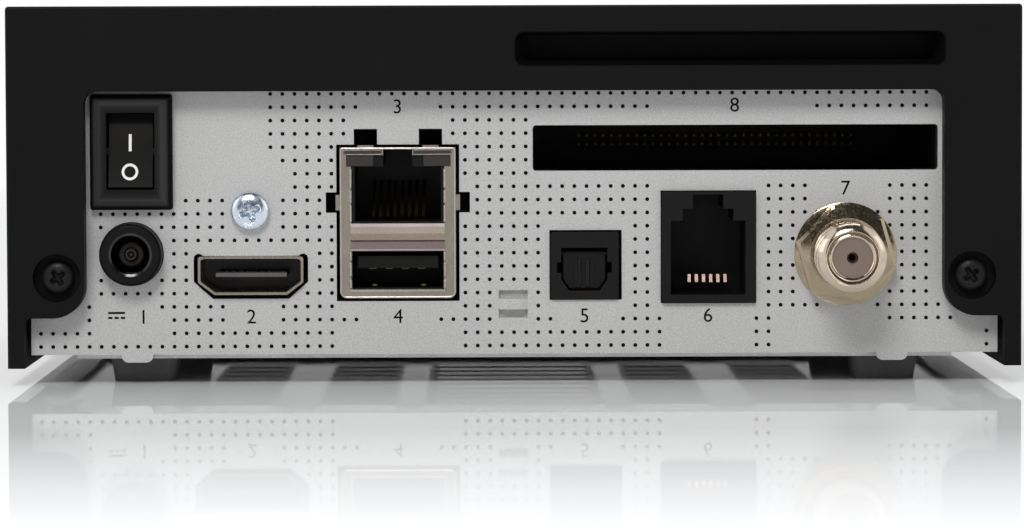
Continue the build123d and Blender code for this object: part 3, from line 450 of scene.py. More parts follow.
@dataclass(frozen=True)
class Banded(Metal):
    """Rolled sheet with smoother stripes at both sides of the middle: place, width and roughness of each."""

    stripes: tuple[tuple[float, float, float], ...] = ()
    edge: float = 0.4

    def gloss(self, bench: Bench, drawn: Socket) -> Socket:
        """Roughness falls to a stripe's own value where the distance |X| is inside the stripe.

        Args:
            bench: the material being built.
            drawn: noise of the drawing lines.

        Returns:
            The roughness.
        """
        rough = super().gloss(bench, drawn)
        side = bench.math("ABSOLUTE", bench.axes()["X"])
        for middle, width, smooth in self.stripes:
            away = bench.math("ABSOLUTE", bench.math("SUBTRACT", side, middle * MM))
            inside = bench.span(away, 1.0, 0.0, (width / 2 - self.edge) * MM, (width / 2 + self.edge) * MM)
            rough = bench.mix_values(inside, rough, smooth)
        return rough


@dataclass(frozen=True)
class PaintedRidgeShade(Finish):
    """Black moulding of a frame with painted light: a painted highlight along its ridge and painted shade dark
    at its outer edge.
    """

    middle: tuple[float, float]
    half_size: tuple[float, float]
    stops: Stops
    tint: Colour = (1.0, 0.97, 0.94)
    roughness: float = 0.5

    def dress(self, bench: Bench) -> None:
        """Painted shade and painted highlight follow the distance inwards from the outline, -max(|x| - w, |z| -
        h).

        Args:
            bench: the material being built.
        """
        split = bench.axes()
        over = []
        for axis, middle, half in zip("XZ", self.middle, self.half_size):
            centred = bench.math("ABSOLUTE", bench.math("SUBTRACT", split[axis], middle * MM))
            over.append(bench.math("SUBTRACT", centred, half * MM))
        inward = bench.math("MULTIPLY", bench.math("MAXIMUM", *over), -1.0)
        bench.feed(Base_Color=bench.ramp(inward, self.stops, self.tint),
                   Normal=bench.bump(bench.noise(0.3), 0.01))
        bench.fix(Roughness=self.roughness, Specular_IOR_Level=0.06)


@dataclass(frozen=True)
class PaintedHeightShade(Finish):
    """Moulding with painted shade that changes from one height to the next."""

    stops: Stops
    tint: Colour = (1.0, 0.93, 0.88)
    roughness: float = 0.45

    def dress(self, bench: Bench) -> None:
        """Painted shade follows Z through the given heights.

        Args:
            bench: the material being built.
        """
        painted_shading = bench.ramp(bench.axes()["Z"], self.stops, self.tint)
        bench.feed(Base_Color=painted_shading, Normal=bench.bump(bench.noise(0.25), 0.015))
        bench.fix(Roughness=self.roughness, Specular_IOR_Level=0.06)


@dataclass(frozen=True)
class SandPaint(Finish):
    """Pale paint with a sandy, faintly sparkling grain."""

    colour: Colour
    roughness: float = 0.5
    sand: float = 0.22
    depth: float = 0.015

    def dress(self, bench: Bench) -> None:
        """Fine specks lighter and darker than the ground, over a soft drift.

        Args:
            bench: the material being built.
        """
        fine = bench.noise(self.sand, 4.0)
        drift = bench.drift(bench.noise(30.0), self.colour, 0.95, 1.04)
        sandy = bench.blend(bench.span(fine, 0.0, 1.0, 0.35, 0.75), drift, shade(self.colour, 1.34))
        specks = bench.span(bench.cells(self.sand * 1.6), 0.5, 0.0, 0.0, 0.35)
        bench.feed(Base_Color=bench.blend(specks, sandy, shade(self.colour, 0.72)),
                   Roughness=bench.span(fine, self.roughness - 0.1, self.roughness + 0.1),
                   Normal=bench.bump(fine, self.depth))
        bench.fix(Specular_IOR_Level=0.35)


@dataclass(frozen=True)
class Laminate(Finish):
    """Circuit board lacquer over copper tracks."""

    colour: Colour
    track: Colour
    track_spacing: float = 6.0

    def dress(self, bench: Bench) -> None:
        """Thin tracks where a stretched brick pattern has its joints.

        Args:
            bench: the material being built.
        """
        bricks = bench.add("ShaderNodeTexBrick")
        bench.set(bricks, Scale=1.0 / (self.track_spacing * MM), Mortar_Size=0.03)
        bench.join(bench.place(), bricks.inputs["Vector"])
        tracks, noise = bricks.outputs["Fac"], bench.noise(2.0, 3.0)
        ground = bench.drift(noise, self.colour, 0.85, 1.15)
        bench.feed(Base_Color=bench.blend(tracks, ground, self.track), Normal=bench.bump(tracks, 0.03, 0.6),
                   Roughness=bench.span(noise, 0.25, 0.4))
        bench.fix(Coat_Weight=0.3, Coat_Roughness=0.2)


@dataclass(frozen=True)
class Clear(Finish):
    """See-through plastic, tinted, with slight haze."""

    colour: Colour
    roughness: float = 0.08
    transmission: float = 0.6
    glow: Colour = (0.0, 0.0, 0.0)

    def dress(self, bench: Bench) -> None:
        """Uneven haze from a soft noise.

        Args:
            bench: the material being built.
        """
        haze = bench.noise(1.2, 3.0)
        bench.feed(Base_Color=bench.drift(haze, self.colour, 0.9, 1.1),
                   Roughness=bench.span(haze, max(0.0, self.roughness - 0.03), self.roughness + 0.05))
        bench.fix(Transmission_Weight=self.transmission, Emission_Color=(*self.glow, 1.0),
                  Emission_Strength=1.0 if max(self.glow) > 0 else 0.0)


@dataclass(frozen=True)
class Striped(Finish):
    """Flat cable: grey with a ridge for each wire along its width."""

    colour: Colour
    pitch: float = 1.0

    def dress(self, bench: Bench) -> None:
        """A wave across X gives the ridges.

        Args:
            bench: the material being built.
        """
        wave = bench.add("ShaderNodeTexWave", wave_type="BANDS", bands_direction="X")
        bench.set(wave, Scale=math.pi / 10 / (self.pitch * MM) * 2)
        bench.join(bench.place(), wave.inputs["Vector"])
        ridges = wave.outputs["Fac"]
        bench.feed(Base_Color=bench.blend(ridges, shade(self.colour, 0.75), self.colour),
                   Normal=bench.bump(ridges, 0.15, 0.7), Roughness=bench.span(ridges, 0.45, 0.35, 0.0, 1.0))


FINISHES: dict[Slot, Finish] = {
    Slot.COVER: Moulding((0.0053, 0.0053, 0.0054), 0.5, 0.4, 0.02, 0.07),
    Slot.FASCIA: Moulding((0.008, 0.008, 0.0085), 0.14, 0.8, 0.002, 0.5, 0.05, 0.6),
    Slot.WINDOW: Clear((0.02, 0.014, 0.016), 0.05, 0.5),
    Slot.PANEL: SandPaint((0.395, 0.392, 0.386)),
    Slot.TRAY: Banded((0.56, 0.56, 0.57), 0.29, (0.05, 1.0, 1.0), 0.5, stripes=(
        (0.0, 23.0, 0.2), (14.9, 4.3, 0.14), (31.2, 6.5, 0.14), (47.0, 3.1, 0.14), (61.0, 8.0, 0.14))),
    Slot.ZINC_SCREW: Metal((0.66, 0.72, 0.8), 0.22, (1.0, 1.0, 1.0), 0.5),
    Slot.BLACK_SCREW: Moulding((0.008, 0.008, 0.0085), 0.4, 0.3, 0.01, 0.18),
    Slot.PLASTIC: Moulding((0.0066, 0.0063, 0.006), 0.42, 0.3, 0.015, 0.15),
    Slot.ROCKER: Moulding((0.0062, 0.0056, 0.0052), 0.45, 0.25, 0.015, 0.06),
    Slot.TIN: Metal((0.34, 0.305, 0.25), 0.28, (1.0, 1.0, 0.15), 0.3, 0.002),
    Slot.NICKEL: Metal((0.56, 0.475, 0.38), 0.13, (1.0, 0.1, 1.0), 0.3, 0.003, 0.04),
    Slot.GOLD: Metal((0.85, 0.55, 0.2), 0.25),
    Slot.COPPER: Metal((0.75, 0.38, 0.22), 0.3),
    Slot.SPRING: Metal((0.5, 0.5, 0.5), 0.28),
    Slot.LAMP: Clear((0.028, 0.02, 0.019), 0.3, 0.25),
    Slot.RED_LENS: Clear((0.5, 0.02, 0.015), 0.12, 0.5, (0.05, 0.0, 0.0)),
    Slot.INSULATOR: Moulding((0.16, 0.118, 0.094), 0.4, 0.3, 0.01),
    Slot.CREAM: Moulding((0.68, 0.62, 0.47), 0.4, 0.3, 0.01, 0.45, 0.05),
    Slot.BOARD: Laminate((0.02, 0.12, 0.05), (0.05, 0.2, 0.08)),
    Slot.CHIP: Moulding((0.015, 0.015, 0.016), 0.55, 0.2, 0.01),
    Slot.HEAT_SINK: Moulding((0.02, 0.02, 0.021), 0.45, 0.5, 0.01, 0.6),
    Slot.CAN: Moulding((0.02, 0.025, 0.05), 0.3, 0.5, 0.01, 0.5),
    Slot.RUBBER: Moulding((0.075, 0.075, 0.075), 0.7, 0.5, 0.05, 0.3),
    Slot.LEAD_RED: Moulding((0.45, 0.02, 0.02), 0.35, 0.4, 0.01, 0.45, 0.06),
    Slot.LEAD_BLACK: Moulding((0.015, 0.015, 0.015), 0.35, 0.4, 0.01),
    Slot.BUTTON: Moulding((0.012, 0.012, 0.012), 0.2, 0.5, 0.004, 0.5, 0.05, 0.4),
    Slot.RIBBON: Striped((0.5, 0.5, 0.52)),
}

BLACK_INK = Moulding((0.0035, 0.0035, 0.004), 0.7, 0.15, 0.002, 0.06, 0.1)
WHITE_INK = Moulding((0.75, 0.74, 0.7), 0.5, 0.15, 0.004, 0.3, 0.04)
# Contact metals darkened as painted shade, for parts deep inside the jacks.
GOLD_PAINTED_SHADE = Metal((0.1, 0.07, 0.035), 0.45)
PIN_PAINTED_SHADE = Metal((0.06, 0.05, 0.042), 0.4)
OLIVE_BRASS = Metal((0.36, 0.3, 0.21), 0.14, (1.0, 0.1, 1.0), 0.3, 0.0004, 0.04)
# Copies of tin that stand for light: a brighter one as painted highlight on rolled edges, flaps and lip, a
# darker one as painted shade in the fold's crease.
TIN_PAINTED_HIGHLIGHT = Metal((0.46, 0.42, 0.38), 0.4, (1.0, 1.0, 1.0), 0.3, 0.002, 0.04)
TIN_PAINTED_CREASE_SHADE = Metal((0.1, 0.085, 0.07), 0.45, (1.0, 1.0, 1.0), 0.3, 0.002, 0.04)
# Bands of painted reflection across the fold between the stacked mouths: pale, cream, tan and lilac.
FOLD_PAINTED_REFLECTION_PALE = Moulding((0.42, 0.38, 0.37), 0.4, 0.3, 0.002, 0.3)
FOLD_PAINTED_REFLECTION_CREAM = Moulding((0.33, 0.27, 0.225), 0.5, 0.3, 0.002, 0.3)
FOLD_PAINTED_REFLECTION_TAN = Moulding((0.25, 0.19, 0.15), 0.5, 0.3, 0.002, 0.3)
FOLD_PAINTED_REFLECTION_LILAC = Moulding((0.17, 0.125, 0.122), 0.5, 0.3, 0.002, 0.3)
HOOD_PALE = Metal((0.2, 0.18, 0.165), 0.45, (1.0, 1.0, 1.0), 0.3, 0.002, 0.04)
HOOD_GREY = Metal((0.07, 0.06, 0.055), 0.45, (1.0, 1.0, 1.0), 0.3, 0.002, 0.04)
SLOT_BLACK = Moulding((0.0028, 0.0028, 0.0028), 0.5, 0.4, 0.01, 0.06)
# Pale grey on the black cover's edges is painted light, shown by the floor's mirror.
SKIRT_PAINTED_LIGHT = Moulding((0.3, 0.3, 0.3), 0.25, 0.5, 0.006, 0.5)
# Paler grey for the shutter ribs is a painted highlight.
RIB_PAINTED_HIGHLIGHT = Moulding((0.014, 0.0125, 0.0122), 0.5, 0.3, 0.01, 0.1)
INLET_SLEEK = Moulding((0.004, 0.0038, 0.0036), 0.16, 0.3, 0.004, 0.5)
COLLAR_GREY = Moulding((0.02, 0.0175, 0.0165), 0.5, 0.3, 0.01, 0.1)


class Paintbox:
    """Makes each material once and hands it out again."""

    def __init__(self) -> None:
        """Start with nothing mixed."""
        self.mixed: dict[str, bpy.types.Material] = {}

    def get(self, name: str, finish: Finish) -> bpy.types.Material:
        """The material of this name, made on first use.

        Args:
            name: name of the material.
            finish: what makes it.

        Returns:
            The material.
        """
        if name not in self.mixed:
            self.mixed[name] = finish.make(name)
        return self.mixed[name]

    def slot(self, slot: Slot) -> bpy.types.Material:
        """The material for one of the record's slots."""
        return self.get(f"finish_{slot.value}", FINISHES[slot])


# Surfaces

def grid_faces(rows: int, columns: int, wrap_rows: bool = False, wrap_columns: bool = False) -> np.ndarray:
    """Quads that join a grid of points numbered row by row.

    Args:
        rows: number of rows of points.
        columns: number of points in a row.
        wrap_rows: join the last row to the first.
        wrap_columns: join the end of each row to its start.

    Returns:
        One row of four point numbers for each quad.
    """
    down, along = np.meshgrid(np.arange(rows if wrap_rows else rows - 1),
                              np.arange(columns if wrap_columns else columns - 1), indexing="ij")
    below, beside = (down + 1) % rows, (along + 1) % columns
    corners = [down * columns + along, down * columns + beside,
               below * columns + beside, below * columns + along]
    return np.stack(corners, axis=-1).reshape(-1, 4)


@dataclass
class Shape:
    """Points in millimetres with the faces that join them."""

    points: np.ndarray
    faces: list[list[int]]


def turned(radius: np.ndarray, along: np.ndarray, x: float, z: float, sectors: int = 64,
           closed: bool = False) -> Shape:
    """Surface of revolution about a line along Y.

    A point is (x + r cos a, y, z + r sin a), where r may change with the angle a.

    Args:
        radius: radius of each row, or of each row and sector.
        along: Y of each row, or of each row and sector.
        x: where the axis stands along X.
        z: where the axis stands along Z.
        sectors: points round the axis.
        closed: join the last row to the first; otherwise both ends get a flat cap.

    Returns:
        The closed shape.
    """
    angle = full_turn(sectors)
    rows = len(radius)
    r = np.broadcast_to(radius.reshape(rows, -1), (rows, sectors))
    y = np.broadcast_to(along.reshape(rows, -1), (rows, sectors))
    points = np.stack([x + r * np.cos(angle), y, z + r * np.sin(angle)], axis=-1).reshape(-1, 3)
    faces = grid_faces(rows, sectors, closed, True).tolist()
    if not closed:
        faces += [list(range(sectors)), list(range((rows - 1) * sectors, rows * sectors))]
    return Shape(points, faces)


def two_sided(front: np.ndarray, back: np.ndarray, ring: bool) -> Shape:
    """Closed shape between a front and a back grid of points of the same size.

    The rows of the back follow those of the front in reverse, and the whole is wrapped
    round; where the grid is no ring, its two side edges get a strip each.

    Args:
        front: points of the front, rows by columns by three.
        back: points of the back, in the same order.
        ring: whether each row closes on itself.

    Returns:
        The closed shape.
    """
    rows, columns = front.shape[:2]
    points = np.concatenate([front, back[::-1]]).reshape(-1, 3)
    faces = grid_faces(2 * rows, columns, True, ring).tolist()
    if not ring:
        for side in (0, columns - 1):
            for row in range(rows - 1):
                upper = [row * columns + side, (row + 1) * columns + side]
                lower = [(2 * rows - 2 - row) * columns + side, (2 * rows - 1 - row) * columns + side]
                faces.append(upper + lower)
    return Shape(points, faces)


def bead(corners: np.ndarray, y: float, radius: float, sides: int = 8) -> Shape:
    """Round wire along a closed line in X and Z.

    At each corner the ring stands on the mitre m of the two runs: p + m r cos t, y - r sin t.

    Args:
        corners: X and Z of the line's corners, in order.
        y: where the wire's middle stands along Y.
        radius: radius of the wire.
        sides: points round the wire.

    Returns:
        The closed shape.
    """
    before = corners - np.roll(corners, 1, axis=0)
    normals = np.stack([before[:, 1], -before[:, 0]], axis=-1)
    normals /= np.linalg.norm(normals, axis=1, keepdims=True)
    following = np.roll(normals, -1, axis=0)
    mitre = (normals + following) / (1 + np.sum(normals * following, axis=1, keepdims=True))
    turn = full_turn(sides)
    flat = corners[:, None, :] + mitre[:, None, :] * (radius * np.cos(turn))[None, :, None]
    across = np.broadcast_to(y - radius * np.sin(turn), flat.shape[:2])
    points = np.stack([flat[..., 0], across, flat[..., 1]], axis=-1)
    return Shape(points.reshape(-1, 3), grid_faces(len(corners), sides, True, True).tolist())


def rounded_outline(xs: Span, zs: Span, radii: Span, steps: int = 5) -> np.ndarray:
    """Corners of a rectangle with rounded corners.

    Each corner is its centre plus r (cos a, sin a), with a running through its quarter turn.

    Args:
        xs: left and right side.
        zs: lower and upper side.
        radii: radius of the upper and of the lower corners.
        steps: points in each quarter turn.

    Returns:
        X and Z of the points, in order.
    """
    upper, lower = radii
    quarter = np.linspace(0, math.pi / 2, steps)
    runs = []
    for number, (x, z, inward_x, inward_z, r) in enumerate((
            (xs[1], zs[1], -1, -1, upper), (xs[0], zs[1], 1, -1, upper),
            (xs[0], zs[0], 1, 1, lower), (xs[1], zs[0], -1, 1, lower))):
        angle = quarter + number * math.pi / 2
        centre = np.array([x + inward_x * r, z + inward_z * r])
        runs.append(centre + r * np.stack([np.cos(angle), np.sin(angle)], axis=-1))
    return np.concatenate(runs)


def pad(xs: Span, zs: Span, y: float, proud: float, soft: float) -> Shape:
    """Low pillow on a plane: y - proud (1 - (1 - e)^2), where e is the distance from the edge over soft.

    Args:
        xs: left and right side.
        zs: lower and upper side.
        y: where the plane stands.
        proud: how far the pillow stands out.
        soft: width of its sloping edge.

    Returns:
        The closed shape.
    """
    near = soft * np.array([0.0, 0.15, 0.4, 0.7, 1.0])
    x, z = np.meshgrid(*(np.concatenate([low + near, (high - near)[::-1]]) for low, high in (xs, zs)))
    edge = np.minimum(np.minimum(x - xs[0], xs[1] - x), np.minimum(z - zs[0], zs[1] - z))
    rise = proud * (1 - (1 - np.clip(edge / soft, 0, 1)) ** 2)
    front = np.stack([x, y - rise, z], axis=-1)
    back = np.stack([x, np.full_like(x, y + 0.1), z], axis=-1)
    return two_sided(front, back, False)


def strip(profile: np.ndarray, xs: Span, y: float, depth: float = 0.35) -> Shape:
    """Folded strip along X.

    Args:
        profile: Z of each row and how far it stands out from y.
        xs: ends of the strip.
        y: plane that the strip is folded from.
        depth: how far it reaches in behind that plane.

    Returns:
        The closed shape.
    """
    x, z = np.meshgrid(np.array(xs), profile[:, 0])
    front = np.stack([x, y - np.repeat(profile[:, 1:], 2, axis=1), z], axis=-1)
    back = np.stack([x, np.full_like(x, y + depth), z], axis=-1)
    return two_sided(front, back, False)


def slab(xs: Span, ys: Span, zs: Span) -> Shape:
    """Plain block.

    Args:
        xs: sides along X.
        ys: front and back.
        zs: underside and top.

    Returns:
        The closed shape.
    """
    x, z = np.meshgrid(np.array(xs), np.array(zs))
    front, back = (np.stack([x, np.full_like(x, y), z], axis=-1) for y in ys)
    return two_sided(front, back, False)


def full_turn(steps: int) -> np.ndarray:
    """Angles at even steps round a circle."""
    return np.linspace(0, 2 * math.pi, steps, endpoint=False)


def spread(rows: np.ndarray, sectors: int) -> np.ndarray:
    """Each row's value repeated in every sector."""
    return np.repeat(rows[:, None], sectors, axis=1)


def joined(shapes: list[Shape]) -> Shape:
    """Several shapes as one.

    Args:
        shapes: the shapes, in order.

    Returns:
        All their points and faces, numbered through.
    """
    starts = np.cumsum([0] + [len(shape.points) for shape in shapes])
    faces = [[number + int(start) for number in face] for start, shape in zip(starts, shapes)
             for face in shape.faces]
    return Shape(np.vstack([shape.points for shape in shapes]), faces)


def put_in_scene(name: str, data: bpy.types.ID) -> bpy.types.Object:
    """New object in the scene.

    Args:
        name: name of the object.
        data: its mesh, curve, lamp or camera.

    Returns:
        The object.
    """
    made = bpy.data.objects.new(name, data)
    bpy.context.scene.collection.objects.link(made)
    return made


def piece(name: str, shape: Shape, material: bpy.types.Material, body: Body = Body.HOUSING,
          smooth: float = 35.0) -> bpy.types.Object:
    """Make an object of the shape, in its place, riding on a body.

    Args:
        name: name of the piece.
        shape: its points and faces, in millimetres.
        material: what it is dressed in.
        body: the body that it rides on.
        smooth: edges sharper than this many degrees stay sharp.

    Returns:
        The new object.
    """
    mesh = bpy.data.meshes.new(name)
    mesh.from_pydata((shape.points * MM).tolist(), [], shape.faces)
    tidy = bmesh.new()
    tidy.from_mesh(mesh)
    bmesh.ops.remove_doubles(tidy, verts=tidy.verts, dist=1e-7)
    bmesh.ops.recalc_face_normals(tidy, faces=tidy.faces)
    tidy.to_mesh(mesh)
    tidy.free()
    mesh.materials.append(material)
    mesh.shade_smooth()
    mesh.set_sharp_from_angle(angle=math.radians(smooth))
    made = put_in_scene(name, mesh)
    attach(made, body.value)
    LOG.info("%s: %d faces", name, len(mesh.polygons))
    return made


# Sub-assemblies

OWN_FINISHES: dict[str, tuple[str, Finish]] = {
    # Contacts and pins deep in the jacks wear metal darkened as painted shade.
    "card_pins": ("gold_painted_shade", GOLD_PAINTED_SHADE),
    "stack_contacts": ("gold_painted_shade", GOLD_PAINTED_SHADE),
    "video_jack_contacts": ("gold_painted_shade", GOLD_PAINTED_SHADE),
    "antenna_contact": ("gold_painted_shade", GOLD_PAINTED_SHADE),
    "serial_contacts": ("gold_dimmed_painted_shade", Metal((0.26, 0.185, 0.155), 0.4)),
    "video_jack_tongue": ("grey_tongue", Moulding((0.085, 0.08, 0.08), 0.4, 0.3, 0.01, 0.3)),
    "power_jack_body": ("inlet_black", Moulding((0.0045, 0.0042, 0.004), 0.4, 0.3, 0.01, 0.12)),
    "power_jack_pin": ("pin_painted_shade", PIN_PAINTED_SHADE),
    "power_jack_spring": ("pin_painted_shade", PIN_PAINTED_SHADE),
    # The bezel wears painted light: a painted shadow at its outer edge and a painted highlight along its ridge.
    "switch_body": ("bezel_black_painted_shade", PaintedRidgeShade((SWITCH_X, 32.95), (5.8, 8.15), (
        (0.0, 0.002), (0.35, 0.0025), (0.5, 0.014), (0.8, 0.04), (1.3, 0.036), (1.7, 0.018), (2.1, 0.012),
        (2.6, 0.008)))),
    # The rocker wears painted shade: lighter towards the top up to Z 36.8, then a painted shadow of the bezel's
    # top edge from Z 37.1 up.
    "switch_rocker": ("rocker_black", PaintedHeightShade((
        (28.0, 0.0066), (29.5, 0.0066), (33.0, 0.01), (36.8, 0.0155), (37.1, 0.0035), (38.5, 0.001)))),
}


@dataclass
class SubAssembly:
    """Something that is made and dressed from the shared paintbox in its own build method."""

    paints: Paintbox


@dataclass
class Dresser(SubAssembly):
    """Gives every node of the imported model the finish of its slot, or one of its own."""

    def build(self) -> None:
        """Put the finishes on the nodes' own material slots."""
        for row in frame["record"]["subparts"]:
            node = frame["nodes"][row["node"]]
            if row["node"] in OWN_FINISHES:
                material = self.paints.get(*OWN_FINISHES[row["node"]])
            else:
                material = self.paints.slot(Slot(row["material_slot"]))
            if not node.material_slots:
                node.data.materials.append(material)
            for place in node.material_slots:
                place.material = material
            LOG.info("%s wears %s", node.name, material.name)


@dataclass(frozen=True)
class Bare:
    """A rectangle of the panel that carries no printed dots, in X and Z."""

    xs: Span
    zs: Span

    def covers(self, x: np.ndarray, z: np.ndarray) -> np.ndarray:
        """Which points lie inside."""
        return (x > self.xs[0]) & (x < self.xs[1]) & (z > self.zs[0]) & (z < self.zs[1])


@dataclass(frozen=True)
class RoundBare:
    """A disc of the panel that carries no printed dots."""

    x: float
    z: float
    radius: float

    def covers(self, x: np.ndarray, z: np.ndarray) -> np.ndarray:
        """Which points lie inside."""
        return np.hypot(x - self.x, z - self.z) < self.radius


@dataclass
class PanelPrint(SubAssembly):
    """Printing on the rear panel: a grid of dots and plain port numbers."""

    start: tuple[float, float] = (-67.14, 5.35)         # X and Z of the first dot
    pitch: tuple[float, float] = (1.719, 1.8812)        # spacing of the dots along X and Z
    columns: int = 79
    rows: int = 20
    dot_radius: float = 0.285
    dot_sides: int = 12
    digit_height: float = 2.1
    font_share: float = 1.37        # size of the font over the height of its digits
    bare: tuple[Bare | RoundBare, ...] = (
        Bare((-70, -59.5), (12.0, 43)), Bare((59.3, 70), (12.0, 43)),          # behind the cover's frame
        Bare((-70, -61.2), (8.5, 12.1)), Bare((60.8, 70), (10.2, 12.1)), Bare((62.6, 70), (8.4, 10.2)),
        Bare((-60, -35.4), (27.0, 43)), Bare((-60, -33.7), (30.7, 32.9)),      # switch and beside it
        Bare((-60, -31.9), (27.0, 30.8)), Bare((-60, -47.5), (25.2, 27.2)),
        Bare((-40.6, -33.7), (21.5, 27.1)),                                    # panel screw
        RoundBare(SWITCH_X, INLET_Z, 5.3),                                     # power inlet
        Bare((-59.5, -50.9), (10.2, 12.0)), Bare((-59.5, -49.2), (6.4, 10.3)),
        Bare((-45.7, -28.6), (13.9, 19.6)), Bare((-45.7, -30.3), (12.0, 14.0)),   # video jack
        Bare((-40.6, -33.7), (8.3, 12.0)),
        Bare((-25.1, -7.9), (10.2, 34.6)), Bare((-26.8, -6.2), (23.4, 27.1)),  # stacked jacks
        Bare((-8.0, -6.2), (27.0, 29.0)), Bare((-23.4, -9.6), (34.5, 38.4)),
        Bare((-21.7, -11.4), (38.3, 40.3)), Bare((-21.7, -11.4), (8.3, 10.3)),
        Bare((-25.1, -7.9), (4.5, 8.3)),
        Bare((-2.8, 2.4), (8.3, 13.9)),                                        # lance
        Bare((4.1, 16.1), (10.2, 23.3)), Bare((5.8, 14.4), (8.3, 10.3)),       # optical jack
        Bare((19.6, 35.0), (10.2, 29.0)), Bare((21.3, 33.3), (4.5, 10.3)),     # serial jack
        RoundBare(46.9, 17.7, 7.51), Bare((41.9, 52.2), (25.2, 29.0)),         # antenna connector
        Bare((36.8, 52.2), (8.3, 10.3)), Bare((36.8, 66.0), (4.5, 8.4)),
        Bare((2.4, 60.5), (28.9, 38.4)), Bare((19.6, 41.9), (38.3, 40.3)),     # card slot
    )
    numbers: tuple[tuple[str, float, float], ...] = (      # text, X and Z
        ("1", -52.6, 8.6), ("2", -37.3, 8.6), ("3", -16.5, 38.3), ("4", -16.5, 8.6), ("5", 9.9, 8.6),
        ("6", 27.4, 8.6), ("7", 46.9, 26.6), ("8", 31.2, 38.4),
    )

    def build(self) -> None:
        """Print the dots, the numbers and the sign for direct current."""
        ink = self.paints.get("ink_black", BLACK_INK)
        piece("printed_dots", self.dots(), ink)
        piece("port_numbers", joined([self.plate_text(*number) for number in self.numbers]), ink)
        piece("direct_current_sign", self.current_sign(), ink)

    def dots(self) -> Shape:
        """Low discs on a regular grid, left out where a rectangle or disc is bare.

        Each disc has a front and a back ring, x + r cos a and z + r sin a.

        Returns:
            All the discs.
        """
        column, row = np.meshgrid(np.arange(self.columns), np.arange(self.rows))
        x = (self.start[0] + self.pitch[0] * column).ravel()
        z = (self.start[1] + self.pitch[1] * row).ravel()
        keep = ~np.any([place.covers(x, z) for place in self.bare], axis=0)
        x, z = x[keep], z[keep]
        count, sides = len(x), self.dot_sides
        angle = full_turn(sides)
        points = np.empty((count, 2, sides, 3))
        points[..., 0] = x[:, None, None] + self.dot_radius * np.cos(angle)
        points[..., 2] = z[:, None, None] + self.dot_radius * np.sin(angle)
        points[:, 0, :, 1], points[:, 1, :, 1] = INK_YS
        first = (np.arange(count) * 2 * sides)[:, None]
        front, back = first + np.arange(sides), first + sides + np.arange(sides)
        walls = np.stack([front, np.roll(front, -1, axis=1), np.roll(back, -1, axis=1), back], axis=-1)
        return Shape(points.reshape(-1, 3), front.tolist() + back.tolist() + walls.reshape(-1, 4).tolist())

    def plate_text(self, text: str, x: float, z: float) -> Shape:
        """One number as a thin plate on the panel.

        Args:
            text: the number.
            x: where its middle stands along X.
            z: where its foot stands along Z.

        Returns:
            The plate.
        """
        curve = bpy.data.curves.new("number", "FONT")
        curve.body = text
        curve.size = self.digit_height * self.font_share
        curve.extrude = INK_THICKNESS
        curve.align_x = "CENTER"
        curve.resolution_u = 4
        holder = put_in_scene("number", curve)
        mesh = bpy.data.meshes.new_from_object(holder.evaluated_get(bpy.context.evaluated_depsgraph_get()))
        flat = np.empty(len(mesh.vertices) * 3)
        mesh.vertices.foreach_get("co", flat)
        across, up, out = flat.reshape(-1, 3).T
        faces = [list(polygon.vertices) for polygon in mesh.polygons]
        bpy.data.objects.remove(holder)
        bpy.data.meshes.remove(mesh)
        return Shape(np.stack([x + across, PANEL_FACE - out, z + up], axis=-1), faces)

    def current_sign(self) -> Shape:
        """A long bar over three short ones, as thin plates of ink."""
        bars = [((-57.6, -55.2), (10.0, 10.3))] + [((x, x + 0.6), (9.3, 9.6)) for x in (-57.6, -56.7, -55.8)]
        return joined([slab(xs, INK_YS, zs) for xs, zs in bars])


@dataclass
class RockerMarks(SubAssembly):
    """On and off marks that follow the rocker's dished face."""

    axis: tuple[float, float] = (-47.2, 33.1)       # Y and Z of the trunnions
    reach: float = 5.25             # of the face's two ends from the trunnions
    tilt: float = 10.0              # degrees that the rocker leans
    corner: float = 6.0             # degrees from its upright to its ends
    dish: float = 0.15              # how far the face's middle stands out from the trunnions
    thickness: float = 0.03
    bar_zs: Span = (33.1, 35.5)
    ring_z: float = 30.2
    ring_radii: tuple[float, ...] = (0.8, 0.98, 1.17)

    def face_point(self, radius: float, angle: float) -> tuple[float, float]:
        """Y and Z of a point at this angle above the trunnions."""
        turn = math.radians(angle)
        return self.axis[0] - radius * math.sin(turn), self.axis[1] + radius * math.cos(turn)

    def face_arc(self) -> tuple[float, float, float]:
        """Circle through the face's two ends and middle: y^2 + z^2 = 2 cy y + 2 cz z + rest.

        Returns:
            Centre Y, centre Z and radius.
        """
        ends = [self.face_point(self.reach, self.corner - self.tilt),
                self.face_point(self.reach, 180 - self.corner - self.tilt),
                self.face_point(self.dish, 90 - self.tilt)]
        rows = np.array([[2 * y, 2 * z, 1.0] for y, z in ends])
        y, z, rest = np.linalg.solve(rows, np.array([y * y + z * z for y, z in ends]))
        return y, z, math.sqrt(rest + y * y + z * z)

    def mark(self, x: np.ndarray, z: np.ndarray, ring: bool) -> Shape:
        """Thin skin of ink on the face, y = cy + sqrt(R^2 - (z - cz)^2) and its thickness to both sides.

        Args:
            x: X of the mark's points, from the rocker's middle.
            z: their Z.
            ring: whether each row closes on itself.

        Returns:
            The closed skin.
        """
        middle_y, middle_z, radius = self.face_arc()
        y = middle_y + np.sqrt(radius ** 2 - (z - middle_z) ** 2)
        lift = np.array([0.0, self.thickness, 0.0])
        face = np.stack([SWITCH_X + x, y, z], axis=-1)
        return two_sided(face - lift, face + lift, ring)

    def build(self) -> None:
        """Make the bar and the ring."""
        bar = self.mark(*np.meshgrid(np.linspace(-0.2, 0.2, 3), np.linspace(*self.bar_zs, 9)), False)
        angle, radius = np.meshgrid(full_turn(48), self.ring_radii)
        ring = self.mark(radius * np.cos(angle), self.ring_z + radius * np.sin(angle), True)
        ink = self.paints.get("ink_white", WHITE_INK)
        piece("rocker_marks", joined([bar, ring]), ink, Body.ROCKER)


